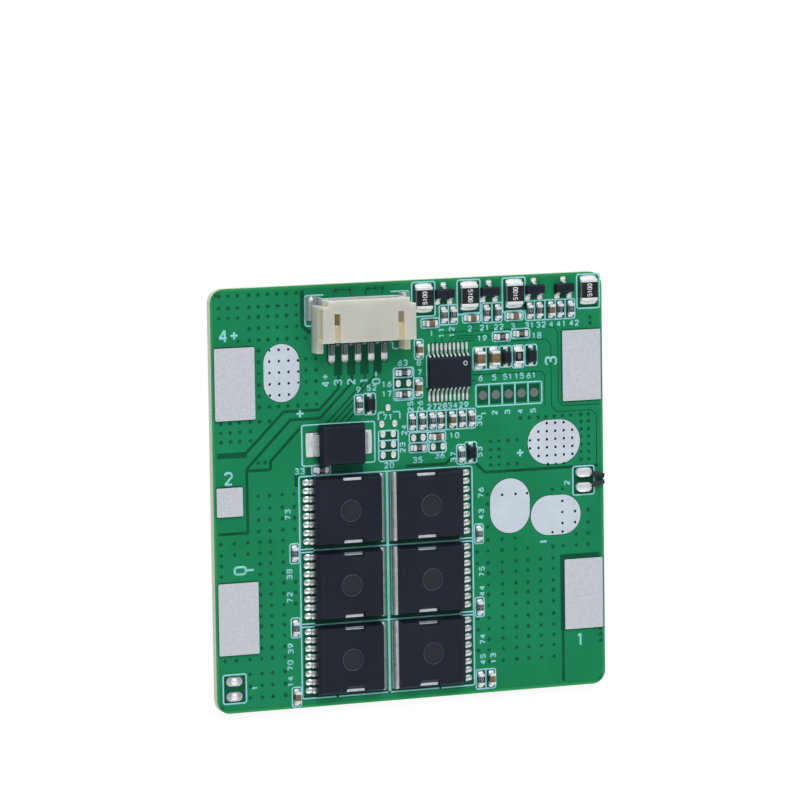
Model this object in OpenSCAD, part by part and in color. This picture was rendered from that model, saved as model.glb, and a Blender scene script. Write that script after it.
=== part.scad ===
// Battery protection board for four cells in series.
// Places are measured from the board's lower left corner, seen from the component side.
// The finished board is centred on the origin, with its underside at height zero.

/* [Board] */
// Thickness of the laminate
board_t = 1.2; // [0.8:0.1:2.4]
// Radius of the board's corners
corner_r = 2; // [0.5:0.25:4]
// Thickness of the tinned copper pads
pad_t = 0.08; // [0.04:0.02:0.16]
// Diameter of the open holes in the wire pads
via_d = 0.4; // [0.2:0.05:0.5]
// Distance from the weld tabs to the board's sides
edge_gap = 0.4; // [0.2:0.1:1]

/* [Weld tabs] */
// Width of a weld tab, across the board
tab_w = 6; // [4:0.5:8]
// Length of a weld tab, along the board's side
tab_l = 10.2; // [6:0.2:14]
// Width of the small tap in the middle of the left side
tap_w = 3.9; // [2.5:0.1:5]
// Length of the small tap
tap_l = 4.1; // [2.5:0.1:8]
// Thickness of the nickel plates
tab_t = 0.3; // [0.1:0.05:0.6]
// Corner radius of the nickel plates
tab_r = 0.2; // [0.1:0.1:1]
// Distance from the weld tabs to the front and rear edges
tab_inset = 8.3; // [6:0.1:12]

/* [Wire pads] */
// Width of the pack plus pad on the left
plus_left_w = 5.4; // [4:0.1:7]
// Length of the pack plus pad on the left
plus_left_l = 8.2; // [7:0.1:11]
// Width of the pack plus pad on the right
plus_right_w = 8.2; // [7:0.1:9]
// Length of the pack plus pad on the right
plus_right_l = 6.4; // [5:0.1:7]
// Width of the pack minus pad on the left
minus_left_w = 6.2; // [5:0.1:7]
// Length of the pack minus pad on the left
minus_left_l = 7.9; // [7:0.1:11]
// Width of the pack minus pad on the right
minus_right_w = 7.85; // [6:0.05:9]
// Length of the pack minus pad on the right
minus_right_l = 5.75; // [4:0.05:6]
// Gap between the two pack minus pads
minus_split = 0.15; // [0.1:0.05:1]
// Gap between a wire pad and what stands beside it
wire_pad_gap = 1.4; // [1:0.1:3]
// Space kept at the right of the pack minus pads
right_margin = 3.6; // [3:0.1:6]

/* [Power transistors] */
// Length of a transistor body, from its leads to its tab
fet_body_l = 10; // [8:0.05:12]
// Height of a transistor body
fet_body_h = 1.7; // [1.5:0.1:4]
// How far the sides of the body lean in at the top
fet_draft = 0.4; // [0.1:0.05:0.6]
// How far the end above the tab leans in at the top
fet_end_draft = 0.1; // [0.05:0.05:0.5]
// Length of the slope above the leads
fet_slope_l = 0.6; // [0.2:0.05:1.2]
// Height of the slope above the leads
fet_slope_h = 0.4; // [0.2:0.05:0.9]
// Number of leads on a transistor
fet_leads = 8; // [5:1:10]
// Pitch of the leads
fet_pitch = 1.2; // [1:0.05:1.5]
// Width of a lead
fet_lead_w = 0.8; // [0.4:0.05:0.9]
// Length of a lead outside the body
fet_lead_l = 0.6; // [0.3:0.05:1]
// Thickness of the leads and of the drain plate
fet_lead_t = 0.5; // [0.3:0.05:0.7]
// Body beyond the middle of the outer leads
fet_side = 0.75; // [0.6:0.05:1.2]
// Length of the drain tab outside the body
fet_tab_l = 0.7; // [0.4:0.05:2]
// Length of the solder in front of the leads
fet_solder_l = 0.9; // [0.5:0.05:1.2]
// Gap between the rows of transistors
fet_row_gap = 0.75; // [0.5:0.05:2]
// Gap between the tabs in the middle
fet_mid_gap = 1.2; // [0.7:0.05:2]
// Gap from the front edge to the first row
fet_front_gap = 1.65; // [1:0.05:3]
// Gap between the transistors and the gate parts beside them
gate_gap = 0.95; // [0.6:0.05:2]
// Gap between the left weld tabs and the gate parts
strip_gap = 5.2; // [3:0.1:8]
// Diameter of the round mould mark on top
mark_d = 3; // [1:0.1:4]
// Width of the notches in the body's sides
notch_w = 3.4; // [1.5:0.1:4]
// How far each end of a notch slants in
notch_end = 0.3; // [0:0.05:0.6]
// Depth of the notches at their floor
notch_d = 0.75; // [0.3:0.05:1]
// Width of the tie bar ends that show in the notches
tie_w = 2.8; // [1:0.1:3.5]
// Height of the tie bar ends and of the notches' floor
tie_h = 1.1; // [0.6:0.05:1.3]
// Distance from the tie bar ends to the body's sides
tie_inset = 0.3; // [0.1:0.05:0.8]
// Distance of the notches from the middle of the body, toward the tab
tie_shift = 0.65; // [0:0.05:2]

/* [Balance socket] */
// Number of pins
pin_count = 5; // [3:1:6]
// Pitch of the pins
pin_pitch = 2; // [1.5:0.05:2.5]
// Thickness and width of a pin
pin_w = 0.5; // [0.3:0.05:0.7]
// Clearance around a pin in the rear wall
pin_clear = 0.02; // [0:0.01:0.1]
// Height of the housing
socket_h = 4.8; // [4:0.1:7]
// Depth of the housing, from its rear wall to its mouth
socket_d = 6; // [5:0.1:8]
// Housing beyond the middle of the outer pins
socket_end = 3.05; // [2.6:0.05:4]
// Thickness of the floor, roof and side walls at the mouth
socket_wall = 0.65; // [0.4:0.05:0.9]
// Thickness of the rear wall
socket_back = 2.4; // [0.8:0.1:3]
// Width of the side flanges and of the ears behind them
ear_t = 0.9; // [0.6:0.05:1.2]
// Height of the ears
ear_h = 2.5; // [1.5:0.1:3.5]
// Length of the ears behind the rear wall
ear_l = 1.6; // [0.5:0.1:2]
// Length of the narrower mouth
nose_l = 0.85; // [0.5:0.05:2]
// Width of the two slots in the roof
slot_w = 0.95; // [0.4:0.05:1.2]
// Length of the two slots in the roof
slot_l = 4.1; // [2:0.1:5]
// How far the metal foot of an anchor stands out beside the flange
anchor_w = 0.4; // [0.3:0.05:1.2]
// Thickness of an anchor
anchor_t = 0.3; // [0.2:0.05:0.4]
// Gap from the mouth to the rear edge of the board
socket_edge = 1.95; // [0.5:0.05:3]
// Gap between the left pack plus pad and the housing
socket_gap = 1.85; // [1.5:0.05:4]

/* [Controller] */
// Number of leads on each side
ic_leads = 10; // [7:1:12]
// Pitch of the leads
ic_pitch = 0.65; // [0.5:0.01:0.7]
// Width of the body between its rows of leads
ic_w = 4.4; // [3.5:0.1:5]
// Height of the body above the pads
ic_h = 1.1; // [0.9:0.05:1.6]
// Width of a lead
ic_lead_w = 0.25; // [0.15:0.01:0.3]
// How far the leads reach past the body
ic_reach = 1; // [0.8:0.05:1.3]
// Pad in front of a lead
ic_pad_l = 1; // [0.3:0.05:1.2]

/* [Surge diode] */
// Length of the body
diode_l = 6.86; // [5:0.02:8]
// Width of the body
diode_w = 5.85; // [4.5:0.05:7]
// Height of the body above its pads
diode_h = 2.4; // [1.6:0.1:3.5]
// Width of the two leads
diode_lead_w = 3; // [1.5:0.1:4]
// Thickness of the two leads
diode_lead_t = 0.2; // [0.1:0.05:0.3]
// How far the leads stand out from the body
diode_reach = 0.55; // [0.4:0.05:1]
// Solder in front of the leads
diode_solder_l = 1.05; // [0.5:0.05:1.5]

/* [Chip parts] */
// Length of a small chip
chip_l = 1.6; // [1.2:0.05:1.8]
// Width of a small chip
chip_w = 0.8; // [0.5:0.05:1]
// Height of a small resistor
chip_h = 0.5; // [0.3:0.05:0.8]
// Height of a small capacitor
chip_cap_h = 0.8; // [0.5:0.05:1]
// Length of a large chip
wide_l = 2; // [1.6:0.05:2.4]
// Width of a large chip
wide_w = 1.25; // [0.8:0.05:1.5]
// Height of a large capacitor
wide_cap_h = 1.2; // [0.6:0.05:1.5]
// Length of a balance resistor
balance_l = 3.2; // [2.6:0.05:4]
// Width of a balance resistor
balance_w = 2.5; // [1.6:0.05:3]
// Height of a balance resistor
balance_h = 0.6; // [0.4:0.05:1]
// Length of the metal ends of a small or large chip
end_l = 0.35; // [0.2:0.05:0.5]
// Length of the metal ends of a balance resistor
balance_end_l = 0.5; // [0.3:0.05:0.8]
// How far the metal ends stand proud of the ceramic
end_proud = 0.03; // [0.01:0.01:0.06]
// Thickness of the dark coat on a resistor
coat_t = 0.03; // [0.01:0.01:0.05]
// Solder in front of a small chip
chip_solder_l = 0.4; // [0.2:0.05:0.6]
// Solder in front of a large chip
wide_solder_l = 0.6; // [0.2:0.05:0.8]

/* [Small semiconductors] */
// Lead pitch of a balance transistor
sot_pitch = 0.95; // [0.8:0.05:1.1]
// Width of a balance transistor body between its leads
sot_w = 1.3; // [1:0.05:1.6]
// Height of a balance transistor above its pads
sot_h = 1.05; // [0.8:0.05:1.4]
// Lead width of a balance transistor
sot_lead_w = 0.55; // [0.25:0.05:0.6]
// How far the leads of a balance transistor reach
sot_reach = 0.55; // [0.4:0.05:0.7]
// Pad in front of a balance transistor lead
sot_pad_l = 0.4; // [0.2:0.05:0.5]
// Body length of a clamp diode
sod_l = 1.7; // [1.3:0.05:2]
// Body width of a clamp diode
sod_w = 1.25; // [0.9:0.05:1.5]
// Height of a clamp diode above its pads
sod_h = 1; // [0.8:0.05:1.3]
// How far the leads of a clamp diode reach
sod_reach = 0.4; // [0.25:0.05:0.5]
// Thickness of all these small leads
lead_t = 0.14; // [0.1:0.01:0.18]

/* [Sensor leads] */
// Diameter of the wire insulation
wire_d = 0.75; // [0.5:0.05:1]
// Diameter of the bare conductor
core_d = 0.35; // [0.2:0.05:0.45]
// Angle at which the two wires close in
wire_turn = 12; // [0:1:15]
// Length of a solder joint
joint_l = 2.4; // [1.8:0.1:3]
// Width of a solder joint
joint_w = 1.3; // [1.1:0.05:1.6]
// Height of a solder joint
joint_h = 0.75; // [0.7:0.05:1.2]
// Pitch of the two sensor joints, and of the two spare sensor pads
joint_pitch = 2.15; // [2:0.05:3]
// Distance from the wires' cut ends to the board's edge
wire_short = 0.1; // [0.1:0.05:1]

/* [Bare pads] */
// Width of a tinned footprint that carries no part
spare_w = 0.75; // [0.6:0.05:1]
// Length of such a footprint
spare_l = 1; // [0.7:0.05:1.2]
// Height of the solder on such a footprint
spare_h = 0.2; // [0.1:0.05:0.4]
// Diameter of a programming pad
probe_d = 1.3; // [0.8:0.05:1.7]
// Pitch of the programming pads
probe_pitch = 2; // [1.8:0.05:2.4]
// Number of programming pads
probe_count = 5; // [2:1:6]

/* [Hidden] */
$fn = 32;
eps = 0.01;
cut = 1;

// Rows of transistors on each side of the middle
fet_rows = 3;

// Reach of the parts along their own length, solder included
chip_span = chip_l / 2 + chip_solder_l;
balance_span = balance_l / 2 + balance_end_l;
sot_span = sot_w / 2 + sot_reach + sot_pad_l;
sot_l = 2 * sot_pitch + 1;
ic_l = ic_leads * ic_pitch;
ic_span = ic_w / 2 + ic_reach + ic_pad_l;
diode_span = diode_l / 2 + diode_reach + diode_solder_l;
fet_body_w = (fet_leads - 1) * fet_pitch + 2 * fet_side;
fet_tab_w = fet_body_w - 0.1;
fet_pad_w = fet_body_w - 1.3;
socket_w = (pin_count - 1) * pin_pitch + 2 * socket_end;

// Heights of the board's face and of the parts' seats on their pads
face_z = board_t;
seat_z = board_t + pad_t;

// Front part of the board, from left to right
gate_left_x = edge_gap + tab_w + strip_gap + chip_w / 2;
fet_tip_x = gate_left_x + chip_w / 2 + gate_gap;
fet_reach = fet_solder_l + fet_lead_l + fet_body_l + fet_tab_l + fet_mid_gap / 2;
fet_mid_x = fet_tip_x + fet_reach;
gate_right_x = fet_mid_x + fet_reach + gate_gap + chip_w / 2;
minus_left_x = gate_right_x + chip_w / 2 + wire_pad_gap + minus_left_w / 2;
minus_right_x = minus_left_x + (minus_left_w + minus_right_w) / 2 + minus_split;
front_row_w = minus_right_x + minus_right_w / 2 + right_margin;

// Rear part of the board, from left to right
plus_left_x = edge_gap + tab_w + wire_pad_gap + plus_left_w / 2;
socket_x = plus_left_x + plus_left_w / 2 + socket_gap + socket_w / 2;
socket_right_x = socket_x + socket_w / 2;
balance_sot_gap = 0.4;
channel_gap = 1.2;
channel_pitch = balance_w + sot_l + balance_sot_gap + channel_gap;
channel_1_x = socket_right_x + anchor_w + 1.4 + balance_w / 2;
sot_dx = balance_w / 2 + balance_sot_gap + sot_l / 2;
last_gap = 1.7;
last_sot_gap = 1.25;
last_edge_gap = 0.9;
rear_row_w = channel_1_x + 2 * channel_pitch + sot_dx + sot_l / 2 + last_gap + sot_l
    + last_sot_gap + balance_w + last_edge_gap;
board_w = max(front_row_w, rear_row_w);
balance_last_x = board_w - last_edge_gap - balance_w / 2;
sot_last_x = balance_last_x - balance_w / 2 - last_sot_gap - sot_l / 2;

// Middle of the board, from the front edge to the rear edge
fet_pitch_y = fet_body_w + fet_row_gap;
fet_rear_y = fet_front_gap + fet_rows * fet_body_w + (fet_rows - 1) * fet_row_gap;
drain_chip_y = fet_rear_y + 0.5 + chip_w / 2;
diode_y = drain_chip_y + chip_w / 2 + 0.3 + diode_w / 2;
field_1_y = fet_rear_y + 0.7 + chip_span;
field_2_y = fet_rear_y + 2.8 + chip_w / 2;
field_3_y = field_2_y + chip_w + 0.65;
field_4_y = field_3_y + chip_w / 2 + 0.7 + chip_span;
ic_y = field_4_y + chip_span + 1.45 + ic_span;
channel_row_gap = 0.3;
channel_edge_gap = 0.5;
middle_d = ic_y + ic_span + 2.75 + 2 * chip_span + channel_row_gap + 2 * sot_span + channel_edge_gap;

// Right side of the board, from the front edge to the rear edge
minus_right_y = tab_inset + tab_l + 3.7 + minus_right_l / 2;
joint_y = minus_right_y + minus_right_l / 2 + 0.3 + joint_w / 2;
plus_right_y = joint_y + joint_pitch + joint_w / 2 + 0.8 + plus_right_l / 2;
right_d = plus_right_y + plus_right_l / 2 + 2.6 + tab_l + tab_inset;
left_d = 2 * (tab_inset + tab_l) + tap_l + 8;
board_d = max(middle_d, right_d, left_d);

// Places that hang on the rear and right edges
minus_left_y = minus_right_y - minus_right_l / 2 + 0.7 + minus_left_l / 2;
plus_left_y = board_d - 8.1 - plus_left_l / 2;
plus_right_x = board_w - 7.8;
joint_x = board_w - 3.25;
socket_y = board_d - socket_edge - socket_d;
sot_y = board_d - channel_edge_gap - sot_span;
channel_chip_y = sot_y - sot_span - channel_row_gap - chip_span;
balance_y = board_d - 0.5 - balance_span;
channel_cap_y = balance_y - balance_span - 0.7 - chip_w / 2;

// Places of the field between the transistors and the controller
diode_x = fet_tip_x + 0.6 + diode_span;
spare_x = diode_x + diode_span + 1.3 + spare_w / 2;
spare_dx = 1.6;
cap_column_gap = 1.65;
field_dx = 5.65 + chip_w / 2;
ic_x = max(socket_right_x + cap_column_gap + chip_w + 1 + ic_l / 2,
    spare_x + spare_dx + spare_w / 2 + 0.5 + field_dx);
ic_left_x = ic_x - ic_l / 2;
ic_right_x = ic_x + ic_l / 2;
cap_column_x = ic_left_x - 1 - chip_w / 2;
bias_x = cap_column_x - chip_w / 2 - 0.65 - chip_span;
wide_y = ic_y + 1.7;
probe_y = ic_y - ic_w / 2 - 1.45;
probe_x = ic_right_x + 2.1;
zener_y = diode_y + diode_w / 2 + 1.2 + chip_span;
gap_y = [for (row = [1:fet_rows - 1]) fet_front_gap + row * fet_pitch_y - fet_row_gap / 2];

// Balance channels: middle of each resistor and of each transistor
balance_xs = concat([for (i = [0:2]) channel_1_x + i * channel_pitch], [balance_last_x]);
sot_xs = concat([for (i = [0:2]) channel_1_x + i * channel_pitch + sot_dx], [sot_last_x]);
channel_dx = [[0, 1.45], [-0.4, 1.35], [-0.65, 0.85], [-0.5, 1.15]];

// Places of the small parts: across, along, and turn in degrees
upright = 90;
flat = 0;
small_resistors = concat(
    [for (i = [0:3]) for (dx = channel_dx[i]) [sot_xs[i] + dx, channel_chip_y, upright]],
    [for (dx = [-5.65, -4.1, -2.55, -1.3, 2, 3.5]) [ic_x + dx, field_4_y, upright]],
    [for (y = gap_y) [gate_left_x, y - 0.45, upright]],
    [for (y = gap_y) [gate_right_x, y + 0.55, upright]],
    [
        [gate_right_x, chip_span + 0.8, upright],
        [ic_x - 4.75, field_2_y, flat],
        [ic_x + 1.85, field_1_y, upright],
        [diode_x - 2.75, drain_chip_y, flat],
        [bias_x, ic_y + 0.25, flat],
        [bias_x, ic_y - 2.8, flat],
        [spare_x - 3.55, zener_y, upright],
        [ic_right_x + 5.1, ic_y + ic_span + 0.45, flat],
        [ic_right_x + 8.1, ic_y + ic_span + 0.75, flat]
    ]);
small_capacitors = [
    [balance_xs[0] + 1, channel_cap_y - 0.45, flat],
    [balance_xs[1] + 0.4, channel_cap_y, flat],
    [balance_xs[2], channel_cap_y, flat],
    [sot_last_x - 1.95, channel_chip_y, upright],
    [cap_column_x + 0.2, ic_y + 3.45, upright],
    [cap_column_x, ic_y - 2, upright],
    [ic_x + 0.5, field_4_y, upright],
    [ic_x - 1.9, field_3_y, flat],
    [gate_left_x, chip_span + 0.4, upright],
    [gate_right_x + chip_w + 0.85, chip_span + 0.8, upright]
];
large_capacitors = [for (dx = [1.55, 3.8]) [ic_right_x + dx, wide_y, upright]];
large_resistors = [[ic_right_x + 7.65, wide_y, upright]];
clamp_diodes = [
    [ic_right_x + 5.7, wide_y, upright],
    [ic_right_x + 9.65, wide_y, upright],
    [spare_x - 1.95, zener_y, upright],
    [ic_x + 3.35, field_1_y + 0.2, upright]
];
balance_places = [for (x = balance_xs) [x, balance_y, upright]];
spare_places = concat(
    [for (x = [0, spare_dx]) for (row = [0:2]) [spare_x + x, fet_rear_y + 2.45 + 1.5 * row]],
    [for (x = [-0.15, 1.85]) [spare_x + x, fet_rear_y + 6.9]],
    [[spare_x + 0.85, fet_rear_y + 9.2]],
    [for (dx = [-5.45, -4]) [ic_x + dx, field_3_y]],
    [for (dx = [-2.45, -0.95]) [ic_x + dx, field_2_y]],
    [for (dx = [-spare_dx, spare_dx] / 2) [bias_x + dx, ic_y - 1.25]]);

// Open holes of a wire pad: grids and single holes, from the middle of the pad
plus_left_holes = [for (i = [0:3]) for (j = [0:4]) [-1.8 + 1.43 * i, -3.1 + 1.6 * j]];
plus_right_holes = [for (i = [0:5]) for (j = [0:5]) [-3.75 + 1.33 * i, -3.1 + 1.17 * j]];
minus_left_holes = [[-1.2, 1.65], [0.9, 1.65], [2.7, 1.65]];
minus_right_holes = [
    [1.05, 1.95], [1.05, 0.35], [1.05, -1.25], [3.05, 0.35], [3.05, -1.25], [-0.55, -2.5], [1.05, -2.5]
];

// Wire pads: across, along, width, length, holes
plus_pads = [
    [plus_left_x, plus_left_y, plus_left_w, plus_left_l, plus_left_holes],
    [plus_right_x, plus_right_y, plus_right_w, plus_right_l, plus_right_holes]
];
minus_pads = [
    [minus_left_x, minus_left_y, minus_left_w, minus_left_l, minus_left_holes],
    [minus_right_x, minus_right_y, minus_right_w, minus_right_l, minus_right_holes]
];

// Distance of a point from the middle line of an obround pad
function obround_distance(p, w, l) = norm([
    max(abs(p.x) - max(w - l, 0) / 2, 0),
    max(abs(p.y) - max(l - w, 0) / 2, 0)
]);
// Holes that lie wholly inside their pad
function inner_holes(pad) = [
    for (p = pad[4])
        if (obround_distance(p, pad[2], pad[3]) < min(pad[2], pad[3]) / 2 - via_d / 2 - 0.02) p
];

// Frame of the finished board
module on_board(z) {
    translate([-board_w / 2, -board_d / 2, z]) children();
}

// One copy of the children at each place of a list
module at_places(places) {
    for (p = places) translate([p.x, p.y, 0]) rotate(p[2]) children();
}

// Both ends of a part
module both_ends() {
    for (turn = [0, 180]) rotate(turn) children();
}

// Flat shapes
module round_rect(w, l, r) {
    square([w - 2 * r, l], center = true);
    square([w, l - 2 * r], center = true);
    for (x = [-1, 1]) for (y = [-1, 1]) translate([x * (w / 2 - r), y * (l / 2 - r)]) circle(r);
}

module obround(w, l) {
    r = min(w, l) / 2;
    reach = [w / 2 - r, l / 2 - r];
    for (side = w == l ? [0] : [-1, 1]) translate(side * reach) circle(r);
    if (w > l) square([2 * reach.x, l], center = true);
    if (l > w) square([w, 2 * reach.y], center = true);
}

// Block on the plane, centred
module block(l, w, h) {
    translate([-l / 2, -w / 2, 0]) cube([l, w, h]);
}

// Profile in the plane of x and z, extruded evenly to both sides of y
module side_profile(points, w) {
    rotate([90, 0, 0]) linear_extrude(w, center = true) polygon(points);
}

// Block whose four sides lean in by the draft at its top
module drafted_block(l, w, h, draft) {
    intersection() {
        side_profile([[-l / 2, 0], [l / 2, 0], [l / 2 - draft, h], [draft - l / 2, h]], w);
        rotate(90)
            side_profile([[-w / 2, 0], [w / 2, 0], [w / 2 - draft, h], [draft - w / 2, h]], l);
    }
}

// Moulded body with a straight band where the leads come out
module moulded_body(l, w, foot_z, band_z, band_h, top_z, draft) {
    translate([0, 0, band_z]) block(l, w, band_h);
    translate([0, 0, band_z + band_h]) drafted_block(l, w, top_z - band_z - band_h, draft);
    translate([0, 0, band_z]) mirror([0, 0, 1]) drafted_block(l, w, band_z - foot_z, draft / 2);
}

// Bent lead from a body's side to a foot on its pad
module gull_lead(start, knee, heel, tip, rise, t, w) {
    side_profile([
        [start, rise], [knee, rise], [heel, 0], [tip, 0],
        [tip, t], [heel + t / 2, t], [knee + t / 2, rise + t], [start, rise + t]
    ], w);
}

// Pad under a lead or chip end with the hollow fillet of solder that climbs its end face at x = 0
module solder_joint(under, front, climb, w) {
    fillet = [for (a = [0:22.5:90]) [front * (1 - sin(a)), pad_t + climb * (1 - cos(a))]];
    side_profile(concat([[-under, 0], [front, 0]], fillet, [[0, pad_t], [-under, pad_t]]), w);
}

// Tinned pad with solder that swells toward its middle
module domed_pad(w, l, edge_h, top_h) {
    half = norm([w, l]) / 2;
    rise = top_h - edge_h;
    r = (half * half + rise * rise) / (2 * rise);
    intersection() {
        linear_extrude(top_h + cut) obround(w, l);
        translate([0, 0, top_h - r]) sphere(r, $fn = 160);
    }
}

// Chip parts, seated on their pads
module chip_body(l, w, h, end) {
    translate([0, 0, end_proud]) block(l - 2 * end, w - 2 * end_proud, h - 2 * end_proud);
}

module chip_ends(l, w, h, end) {
    both_ends() translate([l / 2 - end / 2, 0, 0]) block(end, w, h);
}

module chip_coat(l, w, h, end) {
    translate([0, 0, h - end_proud]) block(l - 2 * end, w - 2 * end_proud, coat_t);
}

module chip_solder(l, w, h, end, front) {
    both_ends() translate([l / 2, 0, 0]) solder_joint(end, front, h * 0.7, w);
}

// Bare board with its open holes
module circuit_board() {
    color([0.11, 0.5, 0.33])
        difference() {
            linear_extrude(board_t) round_rect(board_w, board_d, corner_r);
            on_board(-cut)
                for (pad = concat(plus_pads, minus_pads))
                    for (p = inner_holes(pad))
                        translate([pad.x + p.x, pad.y + p.y, 0]) cylinder(d = via_d, h = board_t + 2 * cut);
        }
}

// Nickel plates that take the cell connections
module weld_tab(x, y, w, l) {
    color([0.78, 0.79, 0.82])
        on_board(face_z) translate([x, y, 0]) linear_extrude(tab_t) round_rect(w, l, tab_r);
}

module battery_plus_tab() {
    weld_tab(edge_gap + tab_w / 2, board_d - tab_inset - tab_l / 2, tab_w, tab_l);
}

module battery_minus_tab() {
    weld_tab(edge_gap + tab_w / 2, tab_inset + tab_l / 2, tab_w, tab_l);
}

module cell_1_tab() {
    weld_tab(board_w - edge_gap - tab_w / 2, tab_inset + tab_l / 2, tab_w, tab_l);
}

module cell_2_tab() {
    weld_tab(edge_gap + tap_w / 2, board_d / 2, tap_w, tap_l);
}

module cell_3_tab() {
    weld_tab(board_w - edge_gap - tab_w / 2, board_d - tab_inset - tab_l / 2, tab_w, tab_l);
}

// Wire pads with their open holes
module wire_pads(pads) {
    color([0.8, 0.82, 0.86])
        on_board(face_z)
            for (pad = pads)
                translate([pad.x, pad.y, 0])
                    difference() {
                        linear_extrude(pad_t) obround(pad[2], pad[3]);
                        for (p = inner_holes(pad))
                            translate([p.x, p.y, -cut]) cylinder(d = via_d, h = pad_t + 2 * cut);
                    }
}

module pack_plus_pads() {
    wire_pads(plus_pads);
}

module pack_minus_pads() {
    wire_pads(minus_pads);
}

// Bare pads
module sensor_pads() {
    color([0.8, 0.81, 0.84])
        on_board(face_z)
            for (i = [0, 1])
                translate([edge_gap + 1 + joint_l / 2, 1.75 + joint_w / 2 + i * joint_pitch, 0])
                    domed_pad(joint_l, joint_w, pad_t, spare_h);
}

module programming_pads() {
    color([0.66, 0.68, 0.7])
        on_board(face_z)
            for (i = [0:probe_count - 1])
                translate([probe_x + i * probe_pitch, probe_y, 0]) cylinder(d = probe_d, h = pad_t);
}

module spare_pads() {
    color([0.85, 0.86, 0.88])
        on_board(face_z)
            for (p = spare_places) translate([p.x, p.y, 0]) domed_pad(spare_w, spare_l, pad_t, spare_h);
}

// Frame of one power transistor: leads to the outside, tab to the middle of the board
function fet_row(index) = index % fet_rows;
function fet_turn(index) = index < fet_rows ? 0 : 180;
module at_fet(index) {
    away = fet_mid_gap / 2 + fet_tab_l + fet_body_l / 2;
    on_board(seat_z)
        translate([fet_mid_x, fet_front_gap + fet_body_w / 2 + fet_row(index) * fet_pitch_y, 0])
            rotate(fet_turn(index)) translate([-away, 0, 0]) children();
}

// Drain plate: the pad under the body, with the tie bar ends in the notches, and the tab beside it
drain_start = 2.6;
tie_l = 0.4;
module drain_pad() {
    x0 = drain_start - fet_body_l / 2;
    x1 = fet_body_l / 2 + fet_tab_l;
    translate([x0, -fet_pad_w / 2, 0]) cube([x1 - x0, fet_pad_w, fet_lead_t]);
    for (side = [-1, 1])
        translate([tie_shift, side * (fet_body_w - tie_l) / 2 - side * tie_inset, 0])
            block(tie_w, tie_l, tie_h);
}

// Cut of one notch: a level floor, a leaning wall and two ends that slant
module notch_cut() {
    side = fet_body_w / 2;
    deep = side - notch_d - fet_draft;
    wide = notch_w / 2;
    intersection() {
        side_profile([
            [side - notch_d, tie_h], [side + cut, tie_h],
            [side + cut, fet_body_h + eps], [deep, fet_body_h + eps]
        ], notch_w);
        linear_extrude(fet_body_h + cut)
            polygon([
                [deep, notch_end - wide], [side, -wide], [side + cut, -wide],
                [side + cut, wide], [side, wide], [deep, wide - notch_end]
            ]);
    }
}

module mosfet_body(index) {
    end = fet_body_l / 2;
    side = fet_body_w / 2;
    mark_depth = 0.08;
    mark_shift = (fet_slope_l - fet_end_draft) / 4;
    color([0.13, 0.14, 0.17])
        at_fet(index)
            difference() {
                intersection() {
                    side_profile([
                        [-end, 0], [end, 0], [end, fet_lead_t], [end - fet_end_draft, fet_body_h],
                        [fet_slope_l - end, fet_body_h], [-end, fet_body_h - fet_slope_h]
                    ], fet_body_w);
                    rotate(90)
                        side_profile([
                            [-side, 0], [side, 0], [side, fet_lead_t], [side - fet_draft, fet_body_h],
                            [fet_draft - side, fet_body_h], [-side, fet_lead_t]
                        ], fet_body_l);
                }
                drain_pad();
                translate([tie_shift, 0, 0])
                    for (turn = [90, -90]) rotate(turn) notch_cut();
                translate([mark_shift, 0, fet_body_h - mark_depth]) cylinder(d = mark_d, h = cut);
            }
}

module mosfet_drain(index) {
    color([0.78, 0.79, 0.8])
        at_fet(index) {
            drain_pad();
            translate([fet_body_l / 2, -fet_tab_w / 2, 0]) cube([fet_tab_l, fet_tab_w, fet_lead_t]);
        }
}

module fet_lead_rows() {
    for (i = [0:fet_leads - 1]) translate([0, (i - (fet_leads - 1) / 2) * fet_pitch, 0]) children();
}

module mosfet_leads(index) {
    color([0.82, 0.82, 0.83])
        at_fet(index)
            fet_lead_rows()
                translate([-fet_body_l / 2 - fet_lead_l / 2, 0, 0]) block(fet_lead_l, fet_lead_w, fet_lead_t);
}

module mosfet_solder() {
    drain_front = 0.1;
    color([0.86, 0.87, 0.89])
        for (index = [0:2 * fet_rows - 1])
            at_fet(index)
                translate([0, 0, -pad_t]) {
                    fet_lead_rows()
                        translate([-fet_body_l / 2 - fet_lead_l, 0, 0])
                            rotate(180) solder_joint(fet_lead_l, fet_solder_l, fet_lead_t * 0.8, fet_lead_w);
                    translate([fet_body_l / 2 + fet_tab_l, 0, 0])
                        solder_joint(fet_tab_l, drain_front, fet_lead_t * 0.5, fet_tab_w);
                }
}

// Balance socket: the frame has its rear wall at y = 0 and its mouth toward the rear edge
pin_z = socket_h / 2;
pin_tip = socket_d - 0.8;
leg_gap = 0.1;
pin_foot = 2.15;
foot_t = 0.35;
anchor_y = [socket_d - 3.1, socket_d + 0.3];
flange_l = socket_d - nose_l;
module at_socket(z) {
    on_board(z) translate([socket_x, socket_y, 0]) children();
}

module at_pins() {
    for (i = [0:pin_count - 1]) translate([(i - (pin_count - 1) / 2) * pin_pitch, 0, 0]) children();
}

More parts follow.
